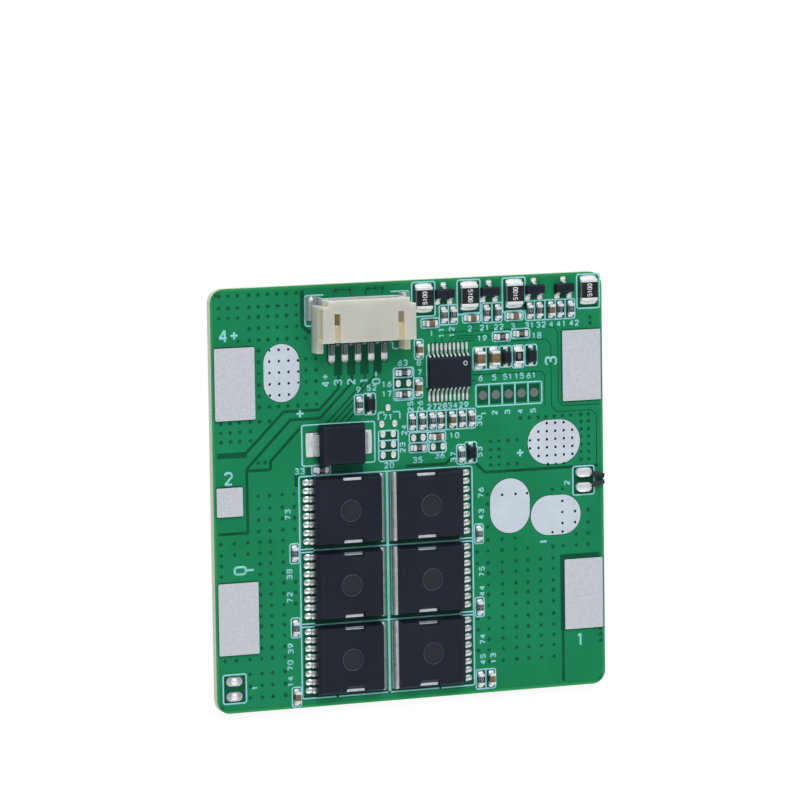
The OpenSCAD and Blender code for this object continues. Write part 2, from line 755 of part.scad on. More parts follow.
module socket_housing() {
    nose_w = socket_w - 2 * ear_t;
    cavity_w = nose_w - 2 * socket_wall;
    slot_x = socket_w / 2 - ear_t - socket_wall - slot_w / 2 - 0.2;
    pocket_depth = ear_t / 2;
    pocket_h = socket_h - ear_h - 0.7;
    color([0.8, 0.78, 0.72])
        at_socket(face_z)
            difference() {
                union() {
                    translate([-nose_w / 2, 0, 0]) cube([nose_w, socket_d, socket_h]);
                    translate([-socket_w / 2, 0, 0]) cube([socket_w, flange_l, socket_h]);
                    for (side = [-1, 1])
                        translate([side * (socket_w - ear_t) / 2, (eps - ear_l) / 2, 0])
                            block(ear_t, ear_l + eps, ear_h);
                }
                translate([-cavity_w / 2, socket_back, socket_wall])
                    cube([cavity_w, socket_d, socket_h - 2 * socket_wall]);
                for (side = [-1, 1]) {
                    translate([side * slot_x - slot_w / 2, -cut, socket_h - socket_wall])
                        cube([slot_w, slot_l + cut, socket_wall + cut]);
                    translate([side * socket_w / 2, flange_l / 2, ear_h + 0.35])
                        block(2 * pocket_depth, flange_l - 0.8, pocket_h);
                }
                at_pins()
                    translate([-pin_w / 2 - pin_clear, -cut, pin_z - pin_w / 2 - pin_clear])
                        cube([pin_w + 2 * pin_clear, socket_back + 2 * cut, pin_w + 2 * pin_clear]);
            }
}

module socket_pins() {
    bottom = pin_z - pin_w / 2;
    top = pin_z + pin_w / 2;
    leg = leg_gap + pin_w;
    bend = pin_w / 3;
    color([0.75, 0.75, 0.74])
        at_socket(face_z)
            at_pins()
                rotate(-90)
                    side_profile([
                        [-pin_tip, bottom], [leg_gap, bottom], [leg_gap, pad_t], [pin_foot, pad_t],
                        [pin_foot, pad_t + foot_t], [leg + bend, pad_t + foot_t],
                        [leg, pad_t + foot_t + bend], [leg, top - bend], [leg - bend, top], [-pin_tip, top]
                    ], pin_w);
}

module socket_anchors() {
    clip_h = 1.9;
    color([0.8, 0.8, 0.8])
        at_socket(seat_z)
            for (side = [0, 1])
                mirror([side, 0, 0])
                    translate([socket_w / 2, 0, 0]) {
                        translate([0, anchor_y[0], 0])
                            cube([anchor_w, anchor_y[1] - anchor_y[0], anchor_t]);
                        translate([-ear_t, flange_l, 0])
                            cube([ear_t + anchor_w, anchor_y[1] - flange_l, anchor_t]);
                        translate([-ear_t, flange_l, 0])
                            cube([anchor_t, anchor_y[1] - flange_l, clip_h]);
                    }
}

module socket_solder() {
    toe = 1.2;
    front = 0.5;
    color([0.86, 0.87, 0.89])
        at_socket(face_z) {
            at_pins()
                translate([0, -pin_foot, 0])
                    rotate(-90) solder_joint(pin_foot - leg_gap, toe, foot_t * 0.8, 0.95);
            for (side = [0, 1])
                mirror([side, 0, 0])
                    translate([socket_w / 2, 0, 0]) {
                        translate([anchor_w, (anchor_y[0] + anchor_y[1]) / 2, 0])
                            solder_joint(anchor_w, front, anchor_t * 0.6, anchor_y[1] - anchor_y[0]);
                        translate([-ear_t, flange_l, 0])
                            cube([ear_t + anchor_w, anchor_y[1] - flange_l, pad_t]);
                    }
        }
}

// Surge diode
diode_band_z = diode_h * 0.45;
diode_fold = 1.5;
module at_diode(z) {
    on_board(z) translate([diode_x, diode_y, 0]) children();
}

module surge_diode_body() {
    color([0.12, 0.13, 0.16])
        at_diode(seat_z)
            moulded_body(diode_l, diode_w, diode_lead_t + 0.02, diode_band_z, diode_lead_t, diode_h, 0.35);
}

module surge_diode_leads() {
    x1 = diode_l / 2 + diode_reach;
    t = diode_lead_t;
    color([0.8, 0.81, 0.82])
        at_diode(seat_z)
            both_ends()
                side_profile([
                    [diode_l / 2, diode_band_z], [x1 - t, diode_band_z], [x1 - t, t], [x1 - diode_fold, t],
                    [x1 - diode_fold, 0], [x1, 0], [x1, diode_band_z + t], [diode_l / 2, diode_band_z + t]
                ], diode_lead_w);
}

// Controller
ic_rise = 0.45;
ic_foot = 0.6;
module at_controller(z) {
    on_board(z) translate([ic_x, ic_y, 0]) children();
}

module at_ic_leads() {
    for (i = [0:ic_leads - 1])
        translate([(i - (ic_leads - 1) / 2) * ic_pitch, 0, 0]) for (turn = [90, -90]) rotate(turn) children();
}

module controller_body() {
    dot_depth = 0.06;
    color([0.13, 0.14, 0.17])
        at_controller(seat_z)
            difference() {
                moulded_body(ic_l, ic_w, 0.1, ic_rise, lead_t, ic_h, 0.1);
                translate([ic_l / 2 - 1, ic_w / 2 - 0.95, ic_h - dot_depth]) cylinder(d = 0.7, h = cut);
            }
}

module controller_leads() {
    tip = ic_w / 2 + ic_reach;
    color([0.8, 0.81, 0.82])
        at_controller(seat_z)
            at_ic_leads()
                gull_lead(ic_w / 2, ic_w / 2 + 0.1, tip - ic_foot, tip, ic_rise, lead_t, ic_lead_w);
}

// Balance transistors: one lead to the rear edge, two to the front
sot_rise = 0.45;
module at_switch(index, z) {
    on_board(z) translate([sot_xs[index], sot_y, 0]) children();
}

module at_sot_leads() {
    for (lead = [[0, 90], [-sot_pitch, -90], [sot_pitch, -90]])
        translate([lead[0], 0, 0]) rotate(lead[1]) children();
}

module balance_switch_body(index) {
    color([0.12, 0.13, 0.15])
        at_switch(index, seat_z) moulded_body(sot_l, sot_w, 0.05, sot_rise, lead_t, sot_h, 0.12);
}

module balance_switch_leads() {
    start = sot_w / 2;
    tip = start + sot_reach;
    color([0.8, 0.81, 0.82])
        for (index = [0:3])
            at_switch(index, seat_z)
                at_sot_leads() gull_lead(start, start + 0.1, tip - 0.3, tip, sot_rise, lead_t, sot_lead_w);
}

// Balance resistors
module balance_resistor(index) {
    color([0.86, 0.87, 0.86])
        on_board(seat_z)
            at_places([balance_places[index]]) chip_body(balance_l, balance_w, balance_h, balance_end_l);
}

module balance_resistor_ends() {
    color([0.83, 0.84, 0.86])
        on_board(seat_z) at_places(balance_places) chip_ends(balance_l, balance_w, balance_h, balance_end_l);
}

// Small and large chips
module resistor_bodies() {
    color([0.85, 0.86, 0.85])
        on_board(seat_z) {
            at_places(small_resistors) chip_body(chip_l, chip_w, chip_h, end_l);
            at_places(large_resistors) chip_body(wide_l, wide_w, chip_h, end_l);
        }
}

module resistor_ends() {
    color([0.83, 0.84, 0.86])
        on_board(seat_z) {
            at_places(small_resistors) chip_ends(chip_l, chip_w, chip_h, end_l);
            at_places(large_resistors) chip_ends(wide_l, wide_w, chip_h, end_l);
        }
}

module resistor_coats() {
    color([0.1, 0.11, 0.13])
        on_board(seat_z) {
            at_places(small_resistors) chip_coat(chip_l, chip_w, chip_h, end_l);
            at_places(large_resistors) chip_coat(wide_l, wide_w, chip_h, end_l);
            at_places(balance_places) chip_coat(balance_l, balance_w, balance_h, balance_end_l);
        }
}

module capacitor_bodies() {
    color([0.55, 0.42, 0.32])
        on_board(seat_z) {
            at_places(small_capacitors) chip_body(chip_l, chip_w, chip_cap_h, end_l);
            at_places(large_capacitors) chip_body(wide_l, wide_w, wide_cap_h, end_l);
        }
}

module capacitor_ends() {
    color([0.83, 0.84, 0.86])
        on_board(seat_z) {
            at_places(small_capacitors) chip_ends(chip_l, chip_w, chip_cap_h, end_l);
            at_places(large_capacitors) chip_ends(wide_l, wide_w, wide_cap_h, end_l);
        }
}

// Clamp diodes
sod_rise = 0.35;
sod_lead_w = 0.35;
module clamp_diode_bodies() {
    color([0.12, 0.13, 0.15])
        on_board(seat_z)
            at_places(clamp_diodes) moulded_body(sod_l, sod_w, 0.05, sod_rise, lead_t, sod_h, 0.1);
}

module clamp_diode_leads() {
    start = sod_l / 2;
    tip = start + sod_reach;
    color([0.8, 0.81, 0.82])
        on_board(seat_z)
            at_places(clamp_diodes)
                both_ends() gull_lead(start, start + 0.04, tip - 0.2, tip, sod_rise, lead_t, sod_lead_w);
}

// Pads and solder of the chips, diodes, balance transistors and controller
module part_solder() {
    climb = lead_t * 0.9;
    sot_tip = sot_w / 2 + sot_reach;
    sod_tip = sod_l / 2 + sod_reach;
    ic_tip = ic_w / 2 + ic_reach;
    color([0.88, 0.89, 0.91])
        on_board(face_z) {
            at_places(small_resistors) chip_solder(chip_l, chip_w, chip_h, end_l, chip_solder_l);
            at_places(large_resistors) chip_solder(wide_l, wide_w, chip_h, end_l, wide_solder_l);
            at_places(small_capacitors) chip_solder(chip_l, chip_w, chip_cap_h, end_l, chip_solder_l);
            at_places(large_capacitors) chip_solder(wide_l, wide_w, wide_cap_h, end_l, wide_solder_l);
            at_places(balance_places)
                chip_solder(balance_l, balance_w, balance_h, balance_end_l, balance_end_l);
            at_places(clamp_diodes)
                both_ends() translate([sod_tip, 0, 0]) solder_joint(0.2, 0.25, climb, 0.7);
            translate([ic_x, ic_y, 0])
                at_ic_leads()
                    translate([ic_tip, 0, 0]) solder_joint(ic_foot, ic_pad_l, climb, ic_lead_w + 0.08);
            for (x = sot_xs)
                translate([x, sot_y, 0])
                    at_sot_leads()
                        translate([sot_tip, 0, 0]) solder_joint(0.3, sot_pad_l, climb, sot_lead_w + 0.25);
            translate([diode_x, diode_y, 0])
                both_ends()
                    translate([diode_l / 2 + diode_reach, 0, 0])
                        solder_joint(diode_fold, diode_solder_l, diode_band_z * 0.7, diode_lead_w + 0.4);
        }
}

// Sensor leads: two cut wires that close in from their joints to the board's edge
wire_z = seat_z + wire_d / 2;
function wire_turn_of(index) = index == 0 ? wire_turn : -wire_turn;
module at_wire(index) {
    on_board(0)
        translate([joint_x, joint_y + index * joint_pitch, wire_z])
            rotate(wire_turn_of(index)) rotate([0, 90, 0]) children();
}
wire_end = (board_w - joint_x - wire_short) / cos(wire_turn) - wire_d / 2 * tan(wire_turn);
wire_start = joint_l / 2 + 0.02;
joint_edge_h = wire_d / 2;
core_start = 0.2;

module sensor_wires() {
    color([0.1, 0.11, 0.13])
        for (index = [0, 1])
            at_wire(index)
                difference() {
                    translate([0, 0, wire_start]) cylinder(d = wire_d, h = wire_end - wire_start);
                    cylinder(d = core_d, h = wire_end + cut);
                }
}

module sensor_wire_cores() {
    color([0.75, 0.6, 0.45])
        for (index = [0, 1])
            at_wire(index) translate([0, 0, core_start]) cylinder(d = core_d, h = wire_end - core_start);
}

module sensor_solder() {
    color([0.86, 0.87, 0.89])
        for (index = [0, 1])
            difference() {
                on_board(face_z)
                    translate([joint_x, joint_y + index * joint_pitch, 0])
                        domed_pad(joint_l, joint_w, joint_edge_h, joint_h);
                at_wire(index) translate([0, 0, core_start]) cylinder(d = core_d, h = wire_end);
            }
}

circuit_board();
battery_plus_tab();
battery_minus_tab();
cell_1_tab();
cell_2_tab();
cell_3_tab();
pack_plus_pads();
pack_minus_pads();
sensor_pads();
programming_pads();
spare_pads();
for (i = [0:5]) {
    mosfet_body(i);
    mosfet_drain(i);
    mosfet_leads(i);
}
mosfet_solder();
socket_housing();
socket_pins();
socket_anchors();
socket_solder();
surge_diode_body();
surge_diode_leads();
controller_body();
controller_leads();
for (i = [0:3]) {
    balance_switch_body(i);
    balance_resistor(i);
}
balance_switch_leads();
balance_resistor_ends();
resistor_bodies();
resistor_ends();
resistor_coats();
capacitor_bodies();
capacitor_ends();
clamp_diode_bodies();
clamp_diode_leads();
part_solder();
sensor_wires();
sensor_wire_cores();
sensor_solder();
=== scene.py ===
# %% [markdown]
# # A battery protection board in Blender
# The board carries six power transistors, a controller, a balance socket and many small chips.
# Its solids come packed from the part's source, in one fixed frame. They could be modelled here once
# more, but then the two models might drift apart, so this lesson dresses the solids: finishes, soft
# edges, copper areas under the green mask, covered holes, print and light.

# %% The frame
import math

import bmesh
import bpy
from mathutils import Matrix, Vector


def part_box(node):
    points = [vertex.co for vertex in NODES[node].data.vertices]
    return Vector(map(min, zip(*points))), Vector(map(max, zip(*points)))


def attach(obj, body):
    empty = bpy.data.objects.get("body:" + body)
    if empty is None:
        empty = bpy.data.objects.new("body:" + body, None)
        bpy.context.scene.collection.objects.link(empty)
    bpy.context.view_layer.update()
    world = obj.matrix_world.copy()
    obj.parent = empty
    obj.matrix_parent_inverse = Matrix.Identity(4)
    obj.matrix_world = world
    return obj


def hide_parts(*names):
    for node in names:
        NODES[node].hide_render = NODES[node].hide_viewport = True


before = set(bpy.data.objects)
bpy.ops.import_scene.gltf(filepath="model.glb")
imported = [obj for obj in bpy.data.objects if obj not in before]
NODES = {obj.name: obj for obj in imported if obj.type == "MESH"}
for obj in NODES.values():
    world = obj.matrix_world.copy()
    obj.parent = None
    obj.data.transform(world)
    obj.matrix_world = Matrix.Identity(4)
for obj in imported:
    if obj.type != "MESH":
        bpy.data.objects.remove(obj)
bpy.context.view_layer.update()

# %% [markdown]
# Everything on a board is laid out in millimetres from one corner, so the lesson does the same. In
# metres, as Blender counts, every place would be a row of zeros. `spot` turns such a place into the
# frame's metres, and the heights are read from the solids, so they follow when a solid changes.

# %% Places and heights
MM = 0.001
BOARD_LO, BOARD_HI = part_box("circuit_board")
FACE = BOARD_HI[2]
COPPER = 0.035 * MM
SKIN = FACE + COPPER


def spot(x, y, z=SKIN):
    return Vector((BOARD_LO[0] + x * MM, BOARD_LO[1] + y * MM, z))


print("board face at", round(FACE / MM, 3), "mm, mask skin at", round(SKIN / MM, 3), "mm")

# %% [markdown]
# A material is a tree of nodes. It could be clicked together by hand, or written with a few lines for
# every node, but a tree is easier to read when one call makes a node, sets it and links its inputs.
# `add` serves the shader trees and the geometry trees alike, and `reckon` is one step of arithmetic.

# %% One call per node
def add(tree, kind, sockets=None, **settings):
    node = tree.nodes.new(kind)
    for name, value in settings.items():
        setattr(node, name, value)
    for key, value in (sockets or {}).items():
        if isinstance(value, bpy.types.NodeSocket):
            tree.links.new(value, node.inputs[key])
        else:
            node.inputs[key].default_value = value
    return node


def reckon(tree, operation, *values):
    return add(tree, "ShaderNodeMath", dict(enumerate(values)), operation=operation).outputs[0]


def tone(red, green, blue):
    """A colour as an eye reads it, from 0 to 255, turned into linear light."""
    scaled = [c / 255 for c in (red, green, blue)]
    return [c / 12.92 if c <= 0.04045 else ((c + 0.055) / 1.055) ** 2.4 for c in scaled] + [1]


print("a mid grey is", [round(c, 3) for c in tone(128, 128, 128)])

# %% [markdown]
# Every finish here has the same layers. Slow patches shift the colour, as no coat or plating is
# even. A fine grain drives the roughness and a small bump, so highlights break up as on the real
# surface. On some pieces the faces that a bevel made take a lighter third tone, which is a painted
# highlight on the rounded edges. A deep slot may take a tone of its own, painted light, and a steep
# wall a darker one, painted shade. A picture could be wrapped around each piece instead, but noise
# needs no unwrapping and shows no seam. All of it reads Object coordinates in metres, so a scale of
# 1000 is a pattern of about a millimetre.

# %% A finish with patches, grain and edges
def spread(tree, value, low, high, start=0.35, stop=0.65):
    return add(tree, "ShaderNodeMapRange", {
        "Value": value, "From Min": start, "From Max": stop, "To Min": low, "To Max": high}).outputs[0]


def blend(tree, amount, one, other):
    """A mix of two colours. Each is red, green and blue, or comes from a socket."""
    one, other = (tone(*colour) if isinstance(colour, tuple) else colour for colour in (one, other))
    return add(tree, "ShaderNodeMix", {0: amount, 6: one, 7: other}, data_type="RGBA").outputs[2]


def noise(tree, where, scale, detail=4.0):
    return add(tree, "ShaderNodeTexNoise", {"Vector": where, "Scale": scale, "Detail": detail}).outputs[0]


def paint_rim_highlight(tree, skin, edge):
    """The skin, with a lighter tone painted on the faces that a bevel made, as a highlight."""
    rim = add(tree, "ShaderNodeAttribute", attribute_name="rim").outputs["Fac"]
    return blend(tree, rim, skin, edge)


def upward(tree, kind):
    """How far a face looks up, by its true normal or by the one that shades it."""
    normal = add(tree, "ShaderNodeNewGeometry").outputs[kind]
    return add(tree, "ShaderNodeSeparateXYZ", {"Vector": normal}).outputs[2]


def begin(name):
    made = bpy.data.materials.new(name)
    made.use_nodes = True
    made.node_tree.nodes.clear()
    where = add(made.node_tree, "ShaderNodeTexCoord").outputs["Object"]
    return made, made.node_tree, where


def close(tree, colour, rough, height, bump, **fixed):
    relief = add(tree, "ShaderNodeBump", {"Height": height, "Strength": bump, "Distance": 0.02 * MM})
    shader = add(tree, "ShaderNodeBsdfPrincipled", {
        "Base Color": colour, "Roughness": rough, "Normal": relief.outputs[0]})
    for socket, value in fixed.items():
        shader.inputs[socket.replace("_", " ")].default_value = value
    add(tree, "ShaderNodeOutputMaterial", {"Surface": shader.outputs[0]})


def finish(name, colour, shade, patch, grain, rough, bump, edge=None, painted_recess_tone=None, painted_wall_shade=None,
           stretch=(1, 1, 1), **fixed):
    made, tree, where = begin(name)
    where = add(tree, "ShaderNodeMapping", {"Vector": where, "Scale": stretch}).outputs[0]
    cloud, fine = noise(tree, where, patch), noise(tree, where, grain, 2.0)
    skin = blend(tree, spread(tree, cloud, 0, 1), colour, shade)
    # Bevelled rims take the lighter edge tone: a painted highlight.
    if edge:
        skin = paint_rim_highlight(tree, skin, edge)
    # Where the piece sees little of the sky a warm tone is painted: painted light, for light caught in the
    # nylon.
    if painted_recess_tone:
        sky_seen = add(tree, "ShaderNodeAmbientOcclusion", {"Distance": 1.5 * MM}, only_local=True)
        skin = blend(tree, spread(tree, sky_seen.outputs["AO"], 0, 1, 0.3, 0.8), painted_recess_tone, skin)
    # Steep faces take a darker wall tone: painted shade.
    if painted_wall_shade:
        skin = blend(tree, spread(tree, upward(tree, "True Normal"), 0, 1, 0.3, 0.8), painted_wall_shade, skin)
    close(tree, skin, spread(tree, fine, *rough), fine, bump, **fixed)
    return made


print("finish: patches, grain and edges from one function")

# %% [markdown]
# The tin plating and the solder are bright, the nickel plates are matt with a fine grain, and the
# moulded cases are a bluish black. Many finishes give their bevelled rims a lighter tone, which is a
# painted highlight. One grey for all metals would be quicker, but the sheen is what tells plating
# from solder. Each finish is filed under the record's slot that it dresses, so one loop can hand them
# out. The finishes below the table are for single pieces that look unlike the rest of their slot.

# %% Metals, ceramics and plastics
FINISHES = {
    # The nickel's darker tone on its steep sides is painted shade, and its lighter rim a painted highlight.
    "nickel": finish(
        "matt_nickel", (206, 210, 216), (193, 197, 204), 3200, 7000, (0.7, 0.85), 0.5, (212, 222, 220),
        painted_wall_shade=(92, 114, 106), Metallic=0.1, Specular_IOR_Level=0.3),
    "tinned_copper": finish(
        "tinned_copper", (216, 226, 236), (208, 218, 228), 260, 2600, (0.42, 0.55), 0.2, Metallic=0.3),
    # The cases' paler rim tone is a painted highlight.
    "mould_compound": finish(
        "mould_compound", (17, 24, 37), (22, 30, 43), 180, 9000, (0.42, 0.54), 0.3, (40, 45, 55),
        Specular_IOR_Level=0.25),
    "lead_metal": finish(
        "tin_plate", (216, 222, 224), (196, 203, 206), 1500, 4000, (0.24, 0.34), 0.08, (240, 244, 245),
        Metallic=0.85),
    "solder": finish(
        "solder", (248, 252, 252), (230, 237, 239), 1700, 3000, (0.16, 0.26), 0.06, Metallic=0.85),
    # The nylon's lighter rim tone is a painted highlight, and its tan recess tone is painted light.
    "nylon": finish(
        "ivory_nylon", (199, 198, 191), (191, 189, 181), 240, 5000, (0.45, 0.6), 0.2, (210, 208, 200),
        (226, 211, 160), Specular_IOR_Level=0.3, Subsurface_Weight=0.8,
        Subsurface_Radius=(1, 0.8, 0.45), Subsurface_Scale=4 * MM),
    "ceramic": finish("white_ceramic", (158, 162, 162), (136, 140, 140), 1500, 7000, (0.45, 0.6), 0.2),
    "resistor_coat": finish(
        "resistor_coat", (30, 31, 36), (40, 42, 47), 900, 6000, (0.3, 0.45), 0.25,
        Specular_IOR_Level=0.2),
    "capacitor_ceramic": finish(
        "brown_ceramic", (130, 106, 82), (112, 90, 68), 1300, 7000, (0.4, 0.55), 0.25, (150, 124, 100),
        Specular_IOR_Level=0.3),
    "insulation": finish(
        "wire_sheath", (30, 38, 44), (40, 48, 54), 900, 5000, (0.4, 0.55), 0.25, Specular_IOR_Level=0.3),
    "conductor": finish(
        "tinned_strands", (198, 194, 186), (164, 158, 150), 2200, 7000, (0.25, 0.4), 0.5,
        stretch=(0.15, 1, 1), Metallic=0.9),
}
CAP = finish(
    "end_cap_tin", (236, 239, 240), (218, 222, 224), 1500, 4000, (0.36, 0.5), 0.08, (242, 244, 245),
    Metallic=0.15)
BLOB = finish("chip_solder", (238, 241, 242), (220, 225, 226), 1700, 3000, (0.28, 0.4), 0.06, Metallic=0.35)
ANCHOR = finish(
    "anchor_plating", (166, 172, 176), (150, 156, 160), 500, 5000, (0.4, 0.5), 0.05, (196, 201, 204),
    Metallic=0.3)
WORN = finish(
    "worn_tin", (122, 126, 126), (104, 122, 116), 1600, 5000, (0.45, 0.6), 0.3, Metallic=0.3,
    Specular_IOR_Level=0.2)
TINNED = finish("sensor_pad", (240, 244, 247), (206, 212, 219), 900, 3000, (0.1, 0.2), 0.3, Metallic=0.7)
DROP = finish("sensor_drop", (250, 252, 253), (236, 240, 244), 900, 3000, (0.1, 0.2), 0.2, Metallic=0.4)
print("finishes:", ", ".join(sorted(FINISHES)))

# %% [markdown]
# The drain plate shows in two places. Its tab lies beside the case: bright where it leaves the
# moulding, and darker at its end between the two columns, which is painted shade. In the notches its
# tie bars were cut after plating, and shine, but not between two rows, where their darker tone is
# painted shade from the next row. Two materials on chosen faces could show this, but the tab would
# have to be cut, and the border would be hard. So one material changes with the distance from the
# line that the two columns share, and what stands high beside a gap is left out.

# %% Drain plates
def two_tone(name, amount, darker_pair, lighter_pair, edge=None):
    """Plating with a darker and a lighter tone, blended as the amount over a place says."""
    made, tree, where = begin(name)
    place = add(tree, "ShaderNodeSeparateXYZ", {"Vector": where}).outputs
    cloud = noise(tree, where, 1200.0)
    tones = [blend(tree, spread(tree, cloud, 0, 1), *pair) for pair in (darker_pair, lighter_pair)]
    skin = blend(tree, amount(tree, place), *tones)
    if edge:
        skin = paint_rim_highlight(tree, skin, edge)
    close(tree, skin, spread(tree, cloud, 0.34, 0.46), cloud, 0.1, Metallic=0.3)
    return made


def tab_root_or_tie(tree, place):
    left_end, right_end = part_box("mosfet_1_drain")[1][0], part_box("mosfet_4_drain")[0][0]
    aside = reckon(tree, "ABSOLUTE", reckon(tree, "SUBTRACT", place[0], (left_end + right_end) / 2))
    start = (right_end - left_end) / 2
    # The tab's end near the middle line takes the darker tone: painted shade.
    inner = spread(tree, aside, 0, 1, start + 0.2 * MM, start + 0.4 * MM)
    high = spread(tree, place[2], 0, 1, FACE + 0.7 * MM, FACE + 0.8 * MM)
    # Tie bars beside the two row gaps take the darker tone too: painted shade from the next row.
    for row in (1, 2):
        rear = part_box(f"mosfet_{row}_body")[1][1]
        near = reckon(tree, "COMPARE", place[1], rear, 0.6 * MM)
        inner = reckon(tree, "SUBTRACT", inner, reckon(tree, "MULTIPLY", near, high))
    return inner


# The darker pair is painted shade, between the columns and in the row gaps.
DRAIN = two_tone(
    "drain_plating", tab_root_or_tie, ((136, 151, 151), (110, 127, 125)),
    ((236, 239, 241), (208, 213, 218)))
print("drain plates: dull ends, bright roots and tie bars")

# %% [markdown]
# The solder of the balance socket is bright only where it climbs the toe of a pin. In front of the
# toe it is thin, so the grey-green pad shows through, and beside the pin, toward the housing, the same
# darker tone is painted shade. The pins are dull outside the housing, and inside it they take a tan
# tone, which is painted light for the glow through the nylon walls. The controller's leads are bright
# on their shoulders and take a duller, greener tone on their feet. Each could be cut in two pieces
# with a finish of their own, but a change by place needs no cut, so `two_tone` makes all three.

# %% Pins, leads and the solder of the socket
def pin_toe(tree, place):
    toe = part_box("socket_pins")[0][1]
    ahead = spread(tree, place[1], 0, 1, toe - 0.95 * MM, toe - 0.8 * MM)
    # Toward the housing the solder takes the darker tone: painted shade.
    behind = spread(tree, place[1], 1, 0, toe + 0.05 * MM, toe + 0.2 * MM)
    return reckon(tree, "MINIMUM", ahead, behind)


def inside(tree, place):
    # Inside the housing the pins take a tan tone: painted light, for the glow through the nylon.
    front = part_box("socket_housing")[0][1]
    return spread(tree, place[1], 0, 1, front + 1.6 * MM, front + 2 * MM)


def shoulder(tree, place):
    return spread(tree, place[2], 0, 1, FACE + 0.28 * MM, FACE + 0.4 * MM)


PIN = two_tone(
    "pin_plating", inside, ((102, 110, 114), (86, 95, 98)), ((206, 188, 138), (184, 166, 118)),
    (140, 148, 150))
LEAD = two_tone(
    "controller_plating", shoulder, ((182, 204, 197), (150, 176, 168)),
    ((242, 246, 245), (226, 232, 231)))
TOE = two_tone(
    "socket_solder", pin_toe, ((132, 158, 150), (116, 140, 132)), ((240, 242, 244), (222, 226, 230)))
print("two-tone platings for the socket and the controller")

# %% [markdown]
# The bare board shows four things. Its cut edge is pale glass cloth in layers. The walls of its
# open holes are painted near black, as painted shade. Its upper face carries the green mask, which
# is dark where it lies on the laminate, and a strip beside the cut edge is painted lighter, a painted
# glow of light that comes through the edge. Its underside is one brighter copper area. Four materials
# would need their own faces, and the upper face would have to be cut for the strip, so one material
# tells them apart by the face's normal and the place.

# %% Laminate under the mask
def laminate():
    made, tree, where = begin("laminate")
    split = add(tree, "ShaderNodeSeparateXYZ", {"Vector": where}).outputs
    rim = reckon(tree, "MAXIMUM", reckon(tree, "ABSOLUTE", split[0]), reckon(tree, "ABSOLUTE", split[1]))
    # The strip beside the cut edge is painted lighter: a painted glow of light through the edge.
    painted_edge_glow = spread(tree, rim, 0, 1, BOARD_HI[0] - 0.9 * MM, BOARD_HI[0] - 0.2 * MM)
    tilt = upward(tree, "Normal")
    up, down = reckon(tree, "GREATER_THAN", tilt, 0.5), reckon(tree, "LESS_THAN", tilt, -0.5)
    outside = reckon(tree, "GREATER_THAN", rim, BOARD_HI[0] - 2 * MM)
    cloud = noise(tree, where, 260.0, 5.0)
    weave = add(tree, "ShaderNodeTexWave", {
        "Vector": where, "Scale": 700.0, "Distortion": 2.0, "Detail": 2.0}, bands_direction="Z").outputs[1]
    over_copper = blend(tree, spread(tree, cloud, 0, 1), (28, 134, 88), (23, 124, 79))
    mask = blend(tree, painted_edge_glow, blend(tree, spread(tree, cloud, 0, 1), (13, 80, 55), (15, 90, 62)),
                 (44, 152, 90))
    cloth = blend(tree, weave, (214, 220, 202), (196, 202, 182))
    # Side faces away from the cut edge are hole walls, painted near black as shade.
    side = blend(tree, outside, (34, 38, 42), cloth)
    skin = blend(tree, down, blend(tree, up, side, mask), over_copper)
    close(tree, skin, spread(tree, cloud, 0.38, 0.5), weave, 0.1, Specular_IOR_Level=0.1)
    return made


FINISHES["laminate"] = laminate()
for node in NODES.values():
    node.material_slots[0].material = FINISHES[node.material_slots[0].material.name]
NODES["programming_pads"].material_slots[0].material = WORN
print("dressed", len(NODES), "solids")

# %% [markdown]
# The camera stands where the picture was taken from: left of the board, a little behind its middle,
# and far away with a long lens. It could be set by eye, but then the render couldn't be laid over the
# picture. So its place and its three axes were worked out from the board's corners in the picture, and
# they are written down as they came.

# %% Camera
EYE = Vector((-0.258073, 0.086693, FACE + 0.631082))
RIGHT = Vector((0.92571911, -0.01441416, 0.37793699))
UP = Vector((0.05391247, 0.99409821, -0.09413928))
BACK = RIGHT.cross(UP)
lens = bpy.data.cameras.new("portrait")
lens.lens, lens.sensor_width, lens.clip_start, lens.clip_end = 217.26, 36, 0.01, 50
camera = bpy.data.objects.new("portrait", lens)
camera.matrix_world = Matrix((RIGHT, UP, BACK)).transposed().to_4x4()
camera.location = EYE
bpy.context.collection.objects.link(camera)
bpy.context.scene.camera = camera
bpy.context.scene.view_settings.view_transform = "Standard"
print("camera", round(EYE.length, 3), "m from the board's middle")

# %% [markdown]
# The board lies on a white sweep under a large, soft sky that is brighter before and behind the board
# than over it. More lamps could make the sweep white, but they would bleach the board as well. So the
# floor is an ordinary pale diffuse surface for the light, and where it is seen it gets some light of
# its own: it reads as white, and the board's shadow stays on it.

# %% Floor, sky and lamps
def backdrop():
    made, tree, _ = begin("white_sweep")
    path = add(tree, "ShaderNodeLightPath").outputs
    seen = reckon(tree, "MAXIMUM", path["Is Camera Ray"], path["Is Glossy Ray"])
    seen = reckon(tree, "MAXIMUM", seen, path["Is Transmission Ray"])
    lit = add(tree, "ShaderNodeBsdfDiffuse", {"Color": (0.8, 0.8, 0.8, 1)}).outputs[0]
    part = add(tree, "ShaderNodeBsdfDiffuse", {"Color": (0.28, 0.28, 0.28, 1)}).outputs[0]
    own = add(tree, "ShaderNodeEmission", {"Color": (1, 1, 1, 1), "Strength": 0.78}).outputs[0]
    white = add(tree, "ShaderNodeAddShader", {0: part, 1: own}).outputs[0]
    mixed = add(tree, "ShaderNodeMixShader", {0: seen, 1: lit, 2: white}).outputs[0]
    add(tree, "ShaderNodeOutputMaterial", {"Surface": mixed})
    return made


bpy.ops.mesh.primitive_plane_add(size=6, location=(0, 0, BOARD_LO[2] - 0.05 * MM))
floor = bpy.context.object
floor.name = "sweep"
floor.data.materials.append(backdrop())

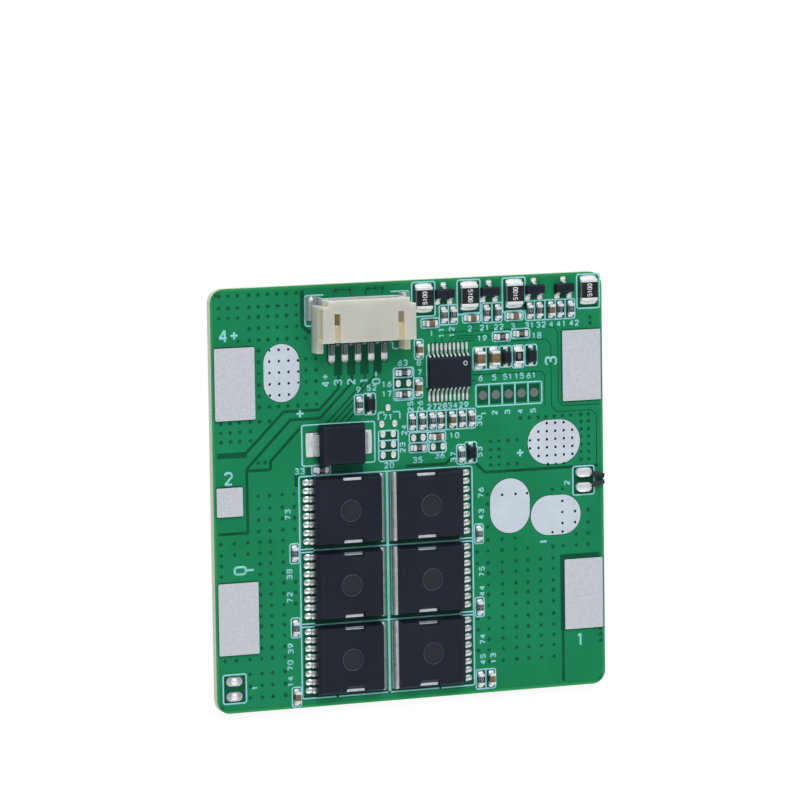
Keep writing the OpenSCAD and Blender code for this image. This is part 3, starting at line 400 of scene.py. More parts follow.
sky = bpy.data.worlds.new("soft_sky")
sky.use_nodes = True
air = sky.node_tree
air.nodes.clear()
looks = add(air, "ShaderNodeTexCoord").outputs["Generated"]
way = add(air, "ShaderNodeSeparateXYZ", {"Vector": looks}).outputs[1]
behind, before = spread(air, way, 0.18, 1.15, 0.06, 0.5), spread(air, way, 0.9, 0.18, -0.5, -0.06)
level = reckon(air, "MAXIMUM", behind, before)
dome = add(air, "ShaderNodeBackground", {"Color": (0.97, 0.985, 1, 1), "Strength": level})
add(air, "ShaderNodeOutputWorld", {"Surface": dome.outputs[0]})
bpy.context.scene.world = sky


def lamp(name, place, size, watts):
    light = bpy.data.lights.new(name, "AREA")
    light.size, light.energy = size, watts
    made = bpy.data.objects.new(name, light)
    made.location = place
    made.rotation_euler = (-Vector(place)).to_track_quat("-Z", "Y").to_euler()
    bpy.context.collection.objects.link(made)


lamp("key", (-0.1, 0.7, 0.65), 0.4, 2.65)
lamp("fill", (0.15, -0.55, 0.7), 0.5, 0.6)
print("two lamps and a sky")

# %% [markdown]
# A few helpers read the solids. `merged` rebuilds a node's loose triangles as one clean mesh.
# `pieces` splits it into its separate pieces, because one node holds many chips or solder joints, and
# the print and the mask openings have to follow each of them. Blender can separate loose parts by
# itself, but it would leave hundreds of objects behind. `islands` gives the pieces' points alone.

# %% Reading the solids
def merged(node):
    source = NODES[node].data
    mesh = bmesh.new()
    corners = [mesh.verts.new(v.co) for v in source.vertices]
    for face in source.polygons:
        mesh.faces.new([corners[i] for i in face.vertices])
    bmesh.ops.remove_doubles(mesh, verts=mesh.verts, dist=0.0005 * MM)
    return mesh


def pieces(node):
    """The node's separate pieces, each as its points and its faces."""
    mesh, found, seen = merged(node), [], set()
    for start in mesh.verts:
        if start in seen:
            continue
        seen.add(start)
        group, todo = [], [start]
        while todo:
            vert = todo.pop()
            group.append(vert)
            for edge in vert.link_edges:
                other = edge.other_vert(vert)
                if other not in seen:
                    seen.add(other)
                    todo.append(other)
        place = {vert: i for i, vert in enumerate(group)}
        sides = dict.fromkeys(face for vert in group for face in vert.link_faces)
        faces = [[place[vert] for vert in face.verts] for face in sides]
        found.append(([vert.co.copy() for vert in group], faces))
    mesh.free()
    return found


def islands(node):
    return [points for points, _ in pieces(node)]


def middle_and_size(points):
    low = Vector([min(p[i] for p in points) for i in range(3)])
    high = Vector([max(p[i] for p in points) for i in range(3)])
    return (low + high) / 2, high - low


print("solder joints of the small parts:", len(islands("part_solder")))

# %% [markdown]
# A finished piece is a plain mesh at the origin. `keep` puts one in the scene, gives it its finish,
# hangs it on the root and hides the solids it stands for. Modifiers could stay live, but a plain mesh
# can be measured, and it stays the same wherever it is used. So a piece that still has modifiers is a
# helper, until `settled` turns it into a plain mesh.

# %% Keeping a piece
def helper(name, mesh):
    piece = bpy.data.objects.new(name, mesh)
    bpy.context.collection.objects.link(piece)
    return piece


def keep(name, mesh, made, stands_for=()):
    piece = helper(name, mesh)
    mesh.materials.clear()
    mesh.materials.append(made)
    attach(piece, "root")
    if stands_for:
        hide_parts(*stands_for)
    return piece


def settled(piece):
    """The mesh of a piece with its modifiers worked in, and the helper object taken away."""
    found = piece.evaluated_get(bpy.context.evaluated_depsgraph_get())
    mesh = bpy.data.meshes.new_from_object(found)
    mesh.name = piece.name
    bpy.data.objects.remove(piece)
    return mesh


def as_mesh(name, mesh):
    made = bpy.data.meshes.new(name)
    mesh.to_mesh(made)
    mesh.free()
    return made


print("pieces are kept at the origin")

# %% [markdown]
# No moulded or plated edge is sharp. A Bevel modifier that goes by angle alone would round every
# edge alike, and fold over itself on thin walls. So each such solid is copied, its flat triangles are
# joined into whole faces, and a small bevel rounds every edge that has room for it. The width follows
# the material: a nylon housing is rounder than a stamped lead. Large faces are flat, and keep their
# own normal.

# %% Soft edges
SHARP = math.radians(25)
LARGE = 10 * MM * MM
ROOM, BREADTH = 2.2, 5


def round_edges(mesh, width):
    """Bevels the edges whose two faces have room for it, and notes the new faces as the rim."""
    rim = mesh.faces.layers.float.new("rim")
    girth = {face: 4 * face.calc_area() / face.calc_perimeter() for face in mesh.faces}
    roomy = []
    for edge in mesh.edges:
        if edge.calc_face_angle(0) > SHARP:
            rooms = [face.calc_area() / edge.calc_length() for face in edge.link_faces]
            narrow = min(girth[face] for face in edge.link_faces)
            edge.smooth = min(rooms) > ROOM * width and narrow > BREADTH * width
            if edge.smooth:
                roomy.append(edge)
    made = bmesh.ops.bevel(mesh, geom=roomy, offset=width, segments=2, profile=0.5, affect="EDGES",
                           clamp_overlap=True)
    for face in made["faces"]:
        face[rim] = 1
    for face in mesh.faces:
        face.smooth = face.calc_area() < LARGE


def join_flat(mesh):
    bmesh.ops.dissolve_limit(mesh, angle_limit=math.radians(1), verts=mesh.verts, edges=mesh.edges)


def soften(node, width, made):
    mesh = merged(node)
    join_flat(mesh)
    round_edges(mesh, width * MM)
    piece = helper(node + "_plain", as_mesh(node, mesh))
    flat = piece.modifiers.new("flat_faces", "WEIGHTED_NORMAL")
    flat.keep_sharp = True
    return keep(node + "_soft", settled(piece), made, (node,))


def smoothed(node, mesh, crease, made):
    """Keeps a mesh in the node's stead, shaded smooth up to an angle between its faces."""
    plain = as_mesh(node, mesh)
    plain.polygons.foreach_set("use_smooth", [True] * len(plain.polygons))
    plain.set_sharp_from_angle(angle=math.radians(crease))
    return keep(node + "_soft", plain, made, (node,))


print("edges over", round(math.degrees(SHARP)), "degrees are rounded by a bevel")

# %% [markdown]
# Molten solder pulls itself round. One joint could be sculpted by hand, but there are far too many,
# so a formula shapes them all. The joints in the solids have the right slope from the side but a
# level crest. Each is cut into strips across its width, lowered toward both sides and drawn in at the
# corners of its far end. A wide joint keeps a nearly straight end, and a film of solder stays at the
# sides. The stamped leads of the power transistors are crowned the same way, but only a little.

# %% Solder that creeps
STRIPS = (-0.8, -0.5, 0, 0.5, 0.8)
FILM, WIDE, CREST = 0.06 * MM, 1.5 * MM, 0.01 * MM
NARROW_PULL, WIDE_PULL = 0.35, 0.05
JOINT_DROP, LEAD_DROP = 0.8, 0.2
JOINT_CREASE, DOME_CREASE = 50, 40


def creep(mesh, points, drop):
    """Cuts one joint into strips, lowers it toward its sides and rounds its far end."""
    top = max(p.z for p in points)
    crest = [p for p in points if p.z > top - CREST]
    middle, size = middle_and_size(crest)
    axis = 0 if size.x > size.y else 1
    across = Vector((1, 0, 0)) if axis == 0 else Vector((0, 1, 0))
    half = size[axis] / 2
    for share in STRIPS:
        bmesh.ops.bisect_plane(mesh, geom=mesh.verts[:] + mesh.edges[:] + mesh.faces[:],
                               plane_co=middle + across * half * share, plane_no=across)
    low = min(p.z for p in points)
    slope = [p[1 - axis] - middle[1 - axis] for p in points if low + 0.1 * MM < p.z < top - 0.02 * MM]
    ahead = math.copysign(1, sum(slope)) if slope else 0
    pull = NARROW_PULL if half < WIDE else WIDE_PULL
    for vert in mesh.verts:
        share = min(((vert.co[axis] - middle[axis]) / half) ** 2, 1)
        reach = max((vert.co[1 - axis] - middle[1 - axis]) * ahead, 0)
        vert.co[1 - axis] -= ahead * reach * pull * share * share
        vert.co.z -= max(vert.co.z - low - FILM, 0) * drop * share


def solder_joints(node, made, drop):
    whole = bmesh.new()
    for points, faces in pieces(node):
        one = bmesh.new()
        corners = [one.verts.new(p) for p in points]
        for face in faces:
            one.faces.new([corners[i] for i in face])
        join_flat(one)
        creep(one, points, drop)
        one_mesh = as_mesh("joint", one)
        whole.from_mesh(one_mesh)
        bpy.data.meshes.remove(one_mesh)
    return smoothed(node, whole, JOINT_CREASE, made)


print("joints are lowered toward their sides")

# %% [markdown]
# Now one loop dresses all solids. Each could have a cell of its own, but a short table of exceptions
# is easier to check, and a loop misses none. The width of the rounding follows the material, with a
# few pieces that have their own, and some pieces have a finish of their own. The board, the pack pads
# and the programming pads stay as they are.

# %% Dressing every solid
ROUND = {
    "nylon": 0.12, "nickel": 0.06, "mould_compound": 0.07, "lead_metal": 0.035, "solder": 0.06,
    "ceramic": 0.03, "capacitor_ceramic": 0.05, "resistor_coat": 0.012,
}
OWN_ROUND = {"balance_switch": 0.05, "clamp_diode_bodies": 0.05, "mosfet": 0.08, "_ends": 0.1}
OWN_FINISH = {
    "_drain": DRAIN, "_ends": CAP, "part_solder": BLOB, "socket_pins": PIN, "socket_anchors": ANCHOR,
    "controller_leads": LEAD, "socket_solder": TOE, "spare_pads": BLOB, "sensor_pads": TINNED,
    "sensor_solder": DROP,
}
STAYS = ("circuit_board", "pack_", "programming")
DOMES = ("spare", "sensor")
SLOT_OF = {made.name: slot for slot, made in FINISHES.items()}
SLOT_OF[WORN.name] = "tinned_copper"
faces = 0
for node in sorted(NODES):
    if node.startswith(STAYS):
        continue
    slot = SLOT_OF[NODES[node].material_slots[0].material.name]
    made = next((own for part, own in OWN_FINISH.items() if part in node), FINISHES[slot])
    if node.startswith(DOMES):
        piece = smoothed(node, merged(node), DOME_CREASE, made)
    elif node.endswith("_solder"):
        piece = solder_joints(node, made, JOINT_DROP)
    elif node.startswith("mosfet") and node.endswith("_leads"):
        piece = solder_joints(node, made, LEAD_DROP)
    else:
        own_width = (w for part, w in OWN_ROUND.items() if part in node and "leads" not in node)
        width = next(own_width, ROUND[slot])
        piece = soften(node, width, made)
    faces += len(piece.data.polygons)
print("softened copies hold", faces, "faces")

# %% [markdown]
# The balance socket's two anchors were touched up by hand, and a drop of solder froze on the outer
# rear corner of each. The two pads of the sensor that isn't fitted carry a small bright drop too. A
# squashed ball would do, but it meets the metal at a sharp rim, and solder that wets a pad runs out
# flat. So a drop is a low crown with a wide skirt: its outline is a formula that is turned around its
# middle, ring by ring.

# %% Frozen drops
RINGS, AROUND = 8, 20
ANCHOR_DROP, PAD_DROP = (0.5 * MM, 0.45 * MM), (0.54 * MM, 0.2 * MM)
ANCHOR_INSET, ANCHOR_SEAT, PAD_SINK = 0.42 * MM, FACE + 0.3 * MM, 0.02 * MM


def frozen_drop(mesh, place, radius, height):
    last = [mesh.verts.new(place + Vector((0, 0, height)))] * AROUND
    for i in range(1, RINGS + 1):
        out = i / RINGS
        rise = height * (1 + math.cos(math.pi * out)) / 2
        ring = [mesh.verts.new(place + Vector((radius * out * math.cos(math.tau * k / AROUND),
                                               radius * out * math.sin(math.tau * k / AROUND), rise)))
                for k in range(AROUND)]
        for k in range(AROUND):
            j = (k + 1) % AROUND
            around = (last[k], ring[k], ring[j], last[j])
            mesh.faces.new(around if i > 1 else around[:3])
        last = ring
    mesh.faces.new(last[::-1])


def keep_drops(name, mesh, made):
    drops = as_mesh(name, mesh)
    drops.polygons.foreach_set("use_smooth", [len(face.vertices) < 5 for face in drops.polygons])
    keep(name, drops, made)


drops = bmesh.new()
anchor_low, anchor_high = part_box("socket_anchors")
for x, inward in ((anchor_low[0], 1), (anchor_high[0], -1)):
    corner = Vector((x + inward * ANCHOR_INSET, anchor_high[1] - ANCHOR_INSET, ANCHOR_SEAT))
    frozen_drop(drops, corner, *ANCHOR_DROP)
keep_drops("anchor_drops", drops, FINISHES["solder"])
drops = bmesh.new()
for points in islands("sensor_pads"):
    middle = middle_and_size(points)[0]
    top = max(p.z for p in points)
    frozen_drop(drops, Vector((middle.x, middle.y, top - PAD_SINK)), *PAD_DROP)
keep_drops("sensor_pad_drops", drops, DROP)
print("drops on two anchors and", len(islands("sensor_pads")), "pads")

# %% [markdown]
# Lines are everywhere on a board: the print, and the gaps that part one copper area from the next.
# Both follow a path. A curve with a bevel of its own could draw each of them, but one Geometry Nodes
# tree draws them all, with the width and the rounding as its inputs. It rounds the path's corners,
# sweeps a flat rectangle along it, and gives the result its material. Two strips of ink that cross
# must not lie in the same plane, or they would shade each other, so each lies a thousandth of a
# millimetre higher than the one before, until the levels are used up and start again.

# %% A line that follows a path
INK_W, INK_H, INK_STEP, INK_LEVELS = 0.23, 0.02, 0.001 * MM, 16


def tree_with(name, inputs):
    tree = bpy.data.node_groups.new(name, "GeometryNodeTree")
    tree.interface.new_socket("Geometry", in_out="INPUT", socket_type="NodeSocketGeometry")
    tree.interface.new_socket("Geometry", in_out="OUTPUT", socket_type="NodeSocketGeometry")
    for label, kind in inputs.items():
        tree.interface.new_socket(label, in_out="INPUT", socket_type="NodeSocket" + kind)
    return tree, add(tree, "NodeGroupInput").outputs


def end_tree(tree, geometry, material):
    whole = add(tree, "GeometryNodeRealizeInstances", {"Geometry": geometry}).outputs[0]
    dressed = add(tree, "GeometryNodeSetMaterial", {"Geometry": whole, "Material": material}).outputs[0]
    add(tree, "NodeGroupOutput", {0: dressed})
    return tree


def line_tree():
    tree, given = tree_with("flat_line", {
        "Line Width": "Float", "Line Height": "Float", "Corner Radius": "Float", "Finish": "Material"})
    bent = add(tree, "GeometryNodeFilletCurve", {
        "Curve": given["Geometry"], "Radius": given["Corner Radius"], "Limit Radius": True, "Count": 3},
        mode="POLY").outputs[0]
    level = add(tree, "GeometryNodeSetCurveNormal", {"Curve": bent}, mode="Z_UP").outputs[0]
    strip = add(tree, "GeometryNodeCurvePrimitiveQuadrilateral", {
        "Width": given["Line Width"], "Height": given["Line Height"]}).outputs[0]
    swept = add(tree, "GeometryNodeCurveToMesh", {
        "Curve": level, "Profile Curve": strip, "Fill Caps": True}).outputs[0]
    return end_tree(tree, swept, given["Finish"])


FLAT_LINE = line_tree()


def run_tree(piece, tree, **values):
    """Sets a tree's inputs by identifier, and returns the plain mesh it makes."""
    modifier = piece.modifiers.new(tree.name, "NODES")
    modifier.node_group = tree
    for socket in tree.interface.items_tree:
        if socket.in_out == "INPUT" and socket.name in values:
            modifier[socket.identifier] = values[socket.name]
    return settled(piece)


def paths(name, lines):
    """A curve object with one straight-sided spline for each (points, closed) pair."""
    curve = bpy.data.curves.new(name, "CURVE")
    curve.dimensions = "3D"
    for points, closed in lines:
        spline = curve.splines.new("POLY")
        spline.points.add(len(points) - 1)
        spline.use_cyclic_u = closed
        for point, place in zip(spline.points, points):
            point.co = (*place, 1)
    return helper(name, curve)


def draw(name, lines, width, height, corner, made):
    return run_tree(paths(name, lines), FLAT_LINE, **{
        "Line Width": width * MM, "Line Height": height * MM, "Corner Radius": corner * MM, "Finish": made})


def ink(name, lines, width, corner, made):
    """Draws lines of ink and keeps them as one piece."""
    keep(name, draw(name, lines, width, INK_H, corner, made), made)


print("line tree with", len(FLAT_LINE.nodes), "nodes")

# %% [markdown]
# The print is pale ink, about a quarter of a millimetre wide. Most of it frames the parts. Its boxes
# could be typed in, but they would stay behind if a chip moved, so they are taken from the solids:
# upright chips that stand close together in a row share one box with a line between each two. Inside
# such a box there is little copper, so each box is noted as a hollow for the copper sheet.

# %% Print around the chips
CHIP_REACH, DIODE_REACH, CHIP_SIDE, ROW_STEP = 0.95, 0.65, 0.3, 2.3
PRINT = finish(
    "pale_print", (156, 222, 226), (142, 210, 215), 700, 5200, (0.5, 0.65), 0.2, Specular_IOR_Level=0.2)
lines, hollows = [], []


def ink_level(index):
    return SKIN + index % INK_LEVELS * INK_STEP


def line(*places, closed=False):
    lines.append(([spot(x, y, ink_level(len(lines))) for x, y in places], closed))


def box(x0, y0, x1, y1, hollow=True):
    line((x0, y0), (x1, y0), (x1, y1), (x0, y1), closed=True)
    if hollow:
        hollows.append((x0 + INK_W / 2, y0 + INK_W / 2, x1 - INK_W / 2, y1 - INK_W / 2))


def from_corner(point):
    return (point.x - BOARD_LO[0]) / MM, (point.y - BOARD_LO[1]) / MM


def chip_boxes():
    rows = {}
    for node in ("resistor_bodies", "capacitor_bodies", "clamp_diode_bodies"):
        reach = DIODE_REACH if node == "clamp_diode_bodies" else CHIP_REACH
        for points in islands(node):
            middle, size = middle_and_size(points)
            x, y = from_corner(middle)
            half_x, half_y = size.x / MM / 2, size.y / MM / 2
            if half_y > half_x:
                row = rows.setdefault((round(y, 1), round(half_y + reach, 2)), [])
                row.append((x, half_x + CHIP_SIDE))
            else:
                half_x, half_y = half_x + reach, half_y + CHIP_SIDE
                box(x - half_x, y - half_y, x + half_x, y + half_y)
    for (y, half_y), chips in rows.items():
        chips.sort()
        while chips:
            run = [chips.pop(0)]
            while chips and chips[0][0] - run[-1][0] < ROW_STEP:
                run.append(chips.pop(0))
            box(run[0][0] - run[0][1], y - half_y, run[-1][0] + run[-1][1], y + half_y)
            for left, right in zip(run, run[1:]):
                x = (left[0] + left[1] + right[0] - right[1]) / 2
                line((x, y - half_y), (x, y + half_y))
    return len(rows)


print("rows of upright chips:", chip_boxes())

# %% [markdown]
# The larger parts get single boxes and lines. Few of them follow a rule that a loop could use, so
# most are read from the picture in millimetres and listed one by one. The boxes of the balance
# resistors follow their solids. The three rows of power transistors are parted by two lines, and each
# of these doubles at both ends.

# %% Print around the larger parts
box(12.85, 1.25, 39.35, 32.95, hollow=False)
for y in (11.7, 22.37):
    line((14.9, y), (37.3, y))
    for beside in (y - 0.22, y + 0.22):
        line((12.85, beside), (14.9, beside))
        line((37.3, beside), (39.35, beside))
box(13.4, 34.4, 24.45, 40.2, hollow=False)
box(0.95, 1.4, 4.4, 5.5)
box(55.15, 27.75, 58.5, 31.9)
box(40.1, 41.4, 50.4, 44.55, hollow=False)
for x in (42.15, 44.2, 46.2, 48.25):
    line((x, 41.4), (x, 44.55))
for i in range(1, 5):
    x, y = from_corner(Vector(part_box(f"balance_resistor_{i}")[0]))
    box(x - 0.55, y - 1.55, x + 3.0, y + 3.35)
box(27.45, 43.0, 30.55, 47.6)
box(25.05, 34.4, 28.05, 38.75)
box(29.75, 36.75, 32.55, 38.25)
box(32.75, 35.2, 35.4, 36.75)
for y in (35.9, 37.35):
    line((25.05, y), (28.05, y))
line((26, 41.4), (25.05, 41.4), (25.05, 40.3))
line((27.3, 41.4), (28.35, 41.4), (28.35, 40.4))
line((33, 49.4), (32.6, 49), (32.6, 44.6))
line((17, 58.5), (14.2, 58.5), (14.2, 54.2), (15.1, 54.2))
line((27.2, 58.5), (30, 58.5), (30, 57))
line((27.4, 51.3), (27.4, 50.4), (28.3, 50.4))
ink("part_frames", lines, INK_W, 0.3, PRINT)
top_level = ink_level(INK_LEVELS - 1)
ink("middle_line", [([spot(26.22, 1.4, top_level), spot(26.22, 32.8, top_level)], False)], 0.38, 0.1, PRINT)
print("printed frames:", len(lines))

# %% [markdown]
# Copper fills most of the face as a few large areas. The mask over them is a brighter green than
# over the bare laminate between them. Each area could be drawn by itself, but two neighbours share
# one gap, so it is less work to draw the gaps. The copper is built as one thin sheet over the whole
# face. The gaps and an opening around every pad are then cut through it with one boolean, so that the
# darker board shows at the bottom.

# %% The mask over copper
MASK = finish(
    "mask_on_copper", (28, 137, 90), (23, 127, 81), 90, 2600, (0.36, 0.48), 0.12, Specular_IOR_Level=0.1)


def hull(points, grow):
    """The outline of a convex pad seen from above, moved outwards."""
    flat = sorted({(round(p[0], 6), round(p[1], 6)) for p in points})
    ring = []
    for run in (flat, flat[::-1]):
        part = []
        for p in run:
            while len(part) > 1 and ((part[-1][0] - part[-2][0]) * (p[1] - part[-2][1])
                                     - (part[-1][1] - part[-2][1]) * (p[0] - part[-2][0])) <= 1e-14:
                part.pop()
            part.append(p)
        ring += part[:-1]
    ring = [Vector(p) for p in ring]
    moved = []
    for before, here, after in zip(ring[-1:] + ring[:-1], ring, ring[1:] + ring[:1]):
        one, two = (here - before).normalized(), (after - here).normalized()
        out = Vector((one.y + two.y, -one.x - two.x)) / (1 + one.dot(two))
        moved.append(here + out * grow)
    return moved


def prism(mesh, ring, bottom, top):
    low = [mesh.verts.new((p.x, p.y, bottom)) for p in ring]
    high = [mesh.verts.new((p.x, p.y, top)) for p in ring]
    mesh.faces.new(low[::-1])
    mesh.faces.new(high)
    for i, start in enumerate(low):
        j = (i + 1) % len(low)
        mesh.faces.new((start, low[j], high[j], high[i]))


print("hull and prism ready")

# %% [markdown]
# The gaps are lines of a width each, read from the picture. Around the leads and pads the copper
# keeps clear; around the transistors' leads, the small switches and the socket's pins, and in the
# wide gaps between those pins, the opening is partly real clearance and partly painted shade. The
# copper is also cut away between the rows of power transistors, in front of the first row and in
# front of the surge diode, which is painted shade. Each opening could have a boolean of its own, but
# hundreds of them would be slow, so all of it becomes one knife.

# %% Gaps between the copper areas
GAPS = [
    (0.8, [[(0.2, 36.55), (5.1, 36.55)]]),
    (0.6, [[(13.75, 59.8), (13.75, 54.3), (14.7, 53.4), (15.4, 53.4)], [(53.05, 18.95), (59.8, 18.95)],
           [(53.3, 19), (53.3, 8.2)]]),
    (0.42, [[(4.8, 36.6), (10.7, 42.3), (16.1, 42.3), (19.1, 45.2), (19.1, 51.9)],
            [(5.05, 25.5), (5.05, 34.5), (11.7, 41.1), (16.2, 41.1), (20.4, 45.2), (21.1, 46),
             (21.1, 51.9)],
            [(5.05, 34.25), (8.65, 34.25), (8.65, 35.4), (13.2, 39.9)], [(0.2, 25.5), (5.2, 25.5)],
            [(40.05, 34.6), (40.05, 33.2), (41.4, 31.9), (59.2, 31.9)], [(53.35, 8.4), (53.35, 0.2)],
            [(36.4, 34.5), (35.3, 33.5), (29.2, 33.5)]]),
    (0.55, [[(12.45, 33.2), (12.45, 31.55)]]),
    # The wide gaps between the socket's pins are partly real gaps and partly painted shade.
    (1.25, [[(x, 51.9), (x, 47)] for x in (19.05, 21.05, 23.05, 25.05)]),
    (0.14, [[(x, 58.2), (x, 59.1), (x + 2.5, 59.1), (x + 2.5, 58.2)] for x in (18.6, 23.4)]),
    (0.13, [[(33.95, 50.5), (33.95, 51.6)], [(36.9, 50.4), (36.9, 50.95), (37.3, 51.35), (40.3, 51.35)],
            [(37.75, 50.4), (38.3, 51), (40, 51)],
            [(36.2, 50.4), (36.2, 51.3), (36.6, 51.7), (42, 51.7), (43, 50.6), (51.1, 50.6),
             (51.9, 49.8), (51.9, 40.9), (52.8, 40), (58.2, 40), (58.95, 39.3), (58.95, 31.9)],
            [(34.95, 50.5), (34.95, 51.8), (35.5, 52.3), (52.3, 52.3), (53, 51.6), (53, 41.5),
             (53.7, 40.8), (59.8, 40.8)],
            [(39.3, 45.2), (40.2, 45.2)], [(39.3, 46), (50.3, 46), (50.9, 45.4), (50.9, 41)]]),
    (0.26, [[(17.2, 40.3), (21.1, 44.1), (23.1, 46.1), (23.1, 51.9)],
            [(18.2, 40.3), (22.4, 44.5), (25, 47.1), (25, 51.9)],
            [(19.2, 40.3), (21.4, 42.5)], [(20.2, 40.3), (21.4, 41.5)]]),
]
OPENINGS = ["part_solder", "mosfet_solder", "socket_solder", "sensor_solder", "sensor_pads", "spare_pads",
            "programming_pads", "pack_plus_pads", "pack_minus_pads"]
TABS = ["battery_plus_tab", "battery_minus_tab", "cell_1_tab", "cell_2_tab", "cell_3_tab"]
CLEAR, TAB_CLEAR = 0.09, 0.12
CUT = (FACE - 0.05 * MM, FACE + 0.15 * MM)
BLADE_LEVEL, BLADE_H, BLADE_CORNER = FACE + 0.03 * MM, 0.2, 0.3


def clear_and_shade_around(node, left, front, right, rear):
    """A hollow in the copper around a node's box, moved out by so many millimetres on each side: partly
    real clearance and partly painted shade.
    """
    low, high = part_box(node)
    (x0, y0), (x1, y1) = from_corner(Vector(low)), from_corner(Vector(high))
    hollows.append((x0 - left, y0 - front, x1 + right, y1 + rear))


# Around the transistors' leads, the switches and the socket's pins the cut is partly painted shade.
for i in range(1, 7):
    left, right = (1.1, 0.2) if i < 4 else (0.2, 1.1)
    clear_and_shade_around(f"mosfet_{i}_leads", left, 0.3, right, 0.3)
for i in range(1, 5):
    clear_and_shade_around(f"balance_switch_{i}_body", 0, 0.85, 0, -0.2)
clear_and_shade_around("controller_leads", 0.2, 0.15, 0.2, 0.15)
clear_and_shade_around("socket_pins", 0.5, 0.9, 0.1, -5.3)
# Between the rows of transistors the copper is cut away as painted shade.
for row in (1, 2):
    front = from_corner(Vector(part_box(f"mosfet_{row}_body")[1]))[1]
    rear = from_corner(Vector(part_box(f"mosfet_{row + 1}_body")[0]))[1]
    hollows.append((12.95, front, 39.25, rear))
# A strip in front of the first row and a zone in front of the surge diode are cut away as painted shadow.
hollows.append((12.9, 1.05, 39.3, 1.8))
hollows.append((13.9, 33.12, 22.6, 34.25))
for points in islands("programming_pads"):
    x, y = from_corner(middle_and_size(points)[0])
    hollows.append((x - 0.82, y - 1.25, x + 0.82, y + 1.25))

knife = bmesh.new()
for x0, y0, x1, y1 in hollows:
    ring = [spot(x, y) for x, y in ((x0, y0), (x1, y0), (x1, y1), (x0, y1))]
    prism(knife, ring, *CUT)
for node in OPENINGS + TABS:
    grow = TAB_CLEAR if node in TABS else CLEAR
    for points in islands(node):
        prism(knife, hull(points, grow * MM), *CUT)
for width, runs in GAPS:
    strips = [([spot(x, y, BLADE_LEVEL) for x, y in run], False) for run in runs]
    cut = draw("gap", strips, width, BLADE_H, BLADE_CORNER, MASK)
    knife.from_mesh(cut)
print("the knife holds", len(knife.faces), "faces")

# %% [markdown]
# On a real board the copper ends short of the cut edge, so that no burr can join two areas. The sheet
# is therefore the board's outline, drawn in by half a millimetre, and the knife cuts it once. Parts of
# the knife overlap each other, which Blender's fast solver can't take, so the exact one is chosen.

# %% Cutting the copper sheet
SHEET_INSET = 0.5 * MM
sheet = bmesh.new()
board_rim = [v.co for v in NODES["circuit_board"].data.vertices]
prism(sheet, hull(board_rim, -SHEET_INSET), FACE, SKIN)
blank = helper("copper_sheet", as_mesh("copper_sheet", sheet))
blade = helper("knife", as_mesh("knife", knife))
cutting = blank.modifiers.new("gaps", "BOOLEAN")
cutting.operation, cutting.solver, cutting.use_self = "DIFFERENCE", "EXACT", True
cutting.object = blade
copper = keep("copper_under_mask", settled(blank), MASK)
bpy.data.objects.remove(blade)
print("copper areas:", len(copper.data.polygons), "faces")

# %% [markdown]
# Hundreds of small plated holes join the two faces. The mask runs over them and sags, which leaves a
# dark dot with a soft rim. A few are open, and some sit on a pad's rim or on a printed line. The open
# ones and those on a pad's rim are not cut, but drawn as near black discs, which is painted shade. A
# bump in the mask's material could show them, but only in a render and not in the mesh. A shape that
# repeats so often is best set by Geometry Nodes: one low cone on every place, a little larger or
# smaller by a fixed seed.

# %% Covered holes
SMALLEST, LARGEST, SEED, SIDES = 0.86, 1.12, 7, 12


def dot_tree():
    tree, given = tree_with("covered_holes", {
        "Dot Radius": "Float", "Top Radius": "Float", "Dot Height": "Float", "Seed": "Int",
        "Finish": "Material"})
    cone = add(tree, "GeometryNodeMeshCone", {
        "Vertices": SIDES, "Side Segments": 1, "Radius Top": given["Top Radius"],
        "Radius Bottom": given["Dot Radius"], "Depth": given["Dot Height"]}).outputs[0]
    size = add(tree, "FunctionNodeRandomValue", {
        2: SMALLEST, 3: LARGEST, "Seed": given["Seed"]}).outputs[1]
    many = add(tree, "GeometryNodeInstanceOnPoints", {
        "Points": given["Geometry"], "Instance": cone, "Scale": size}).outputs[0]
    return end_tree(tree, many, given["Finish"])


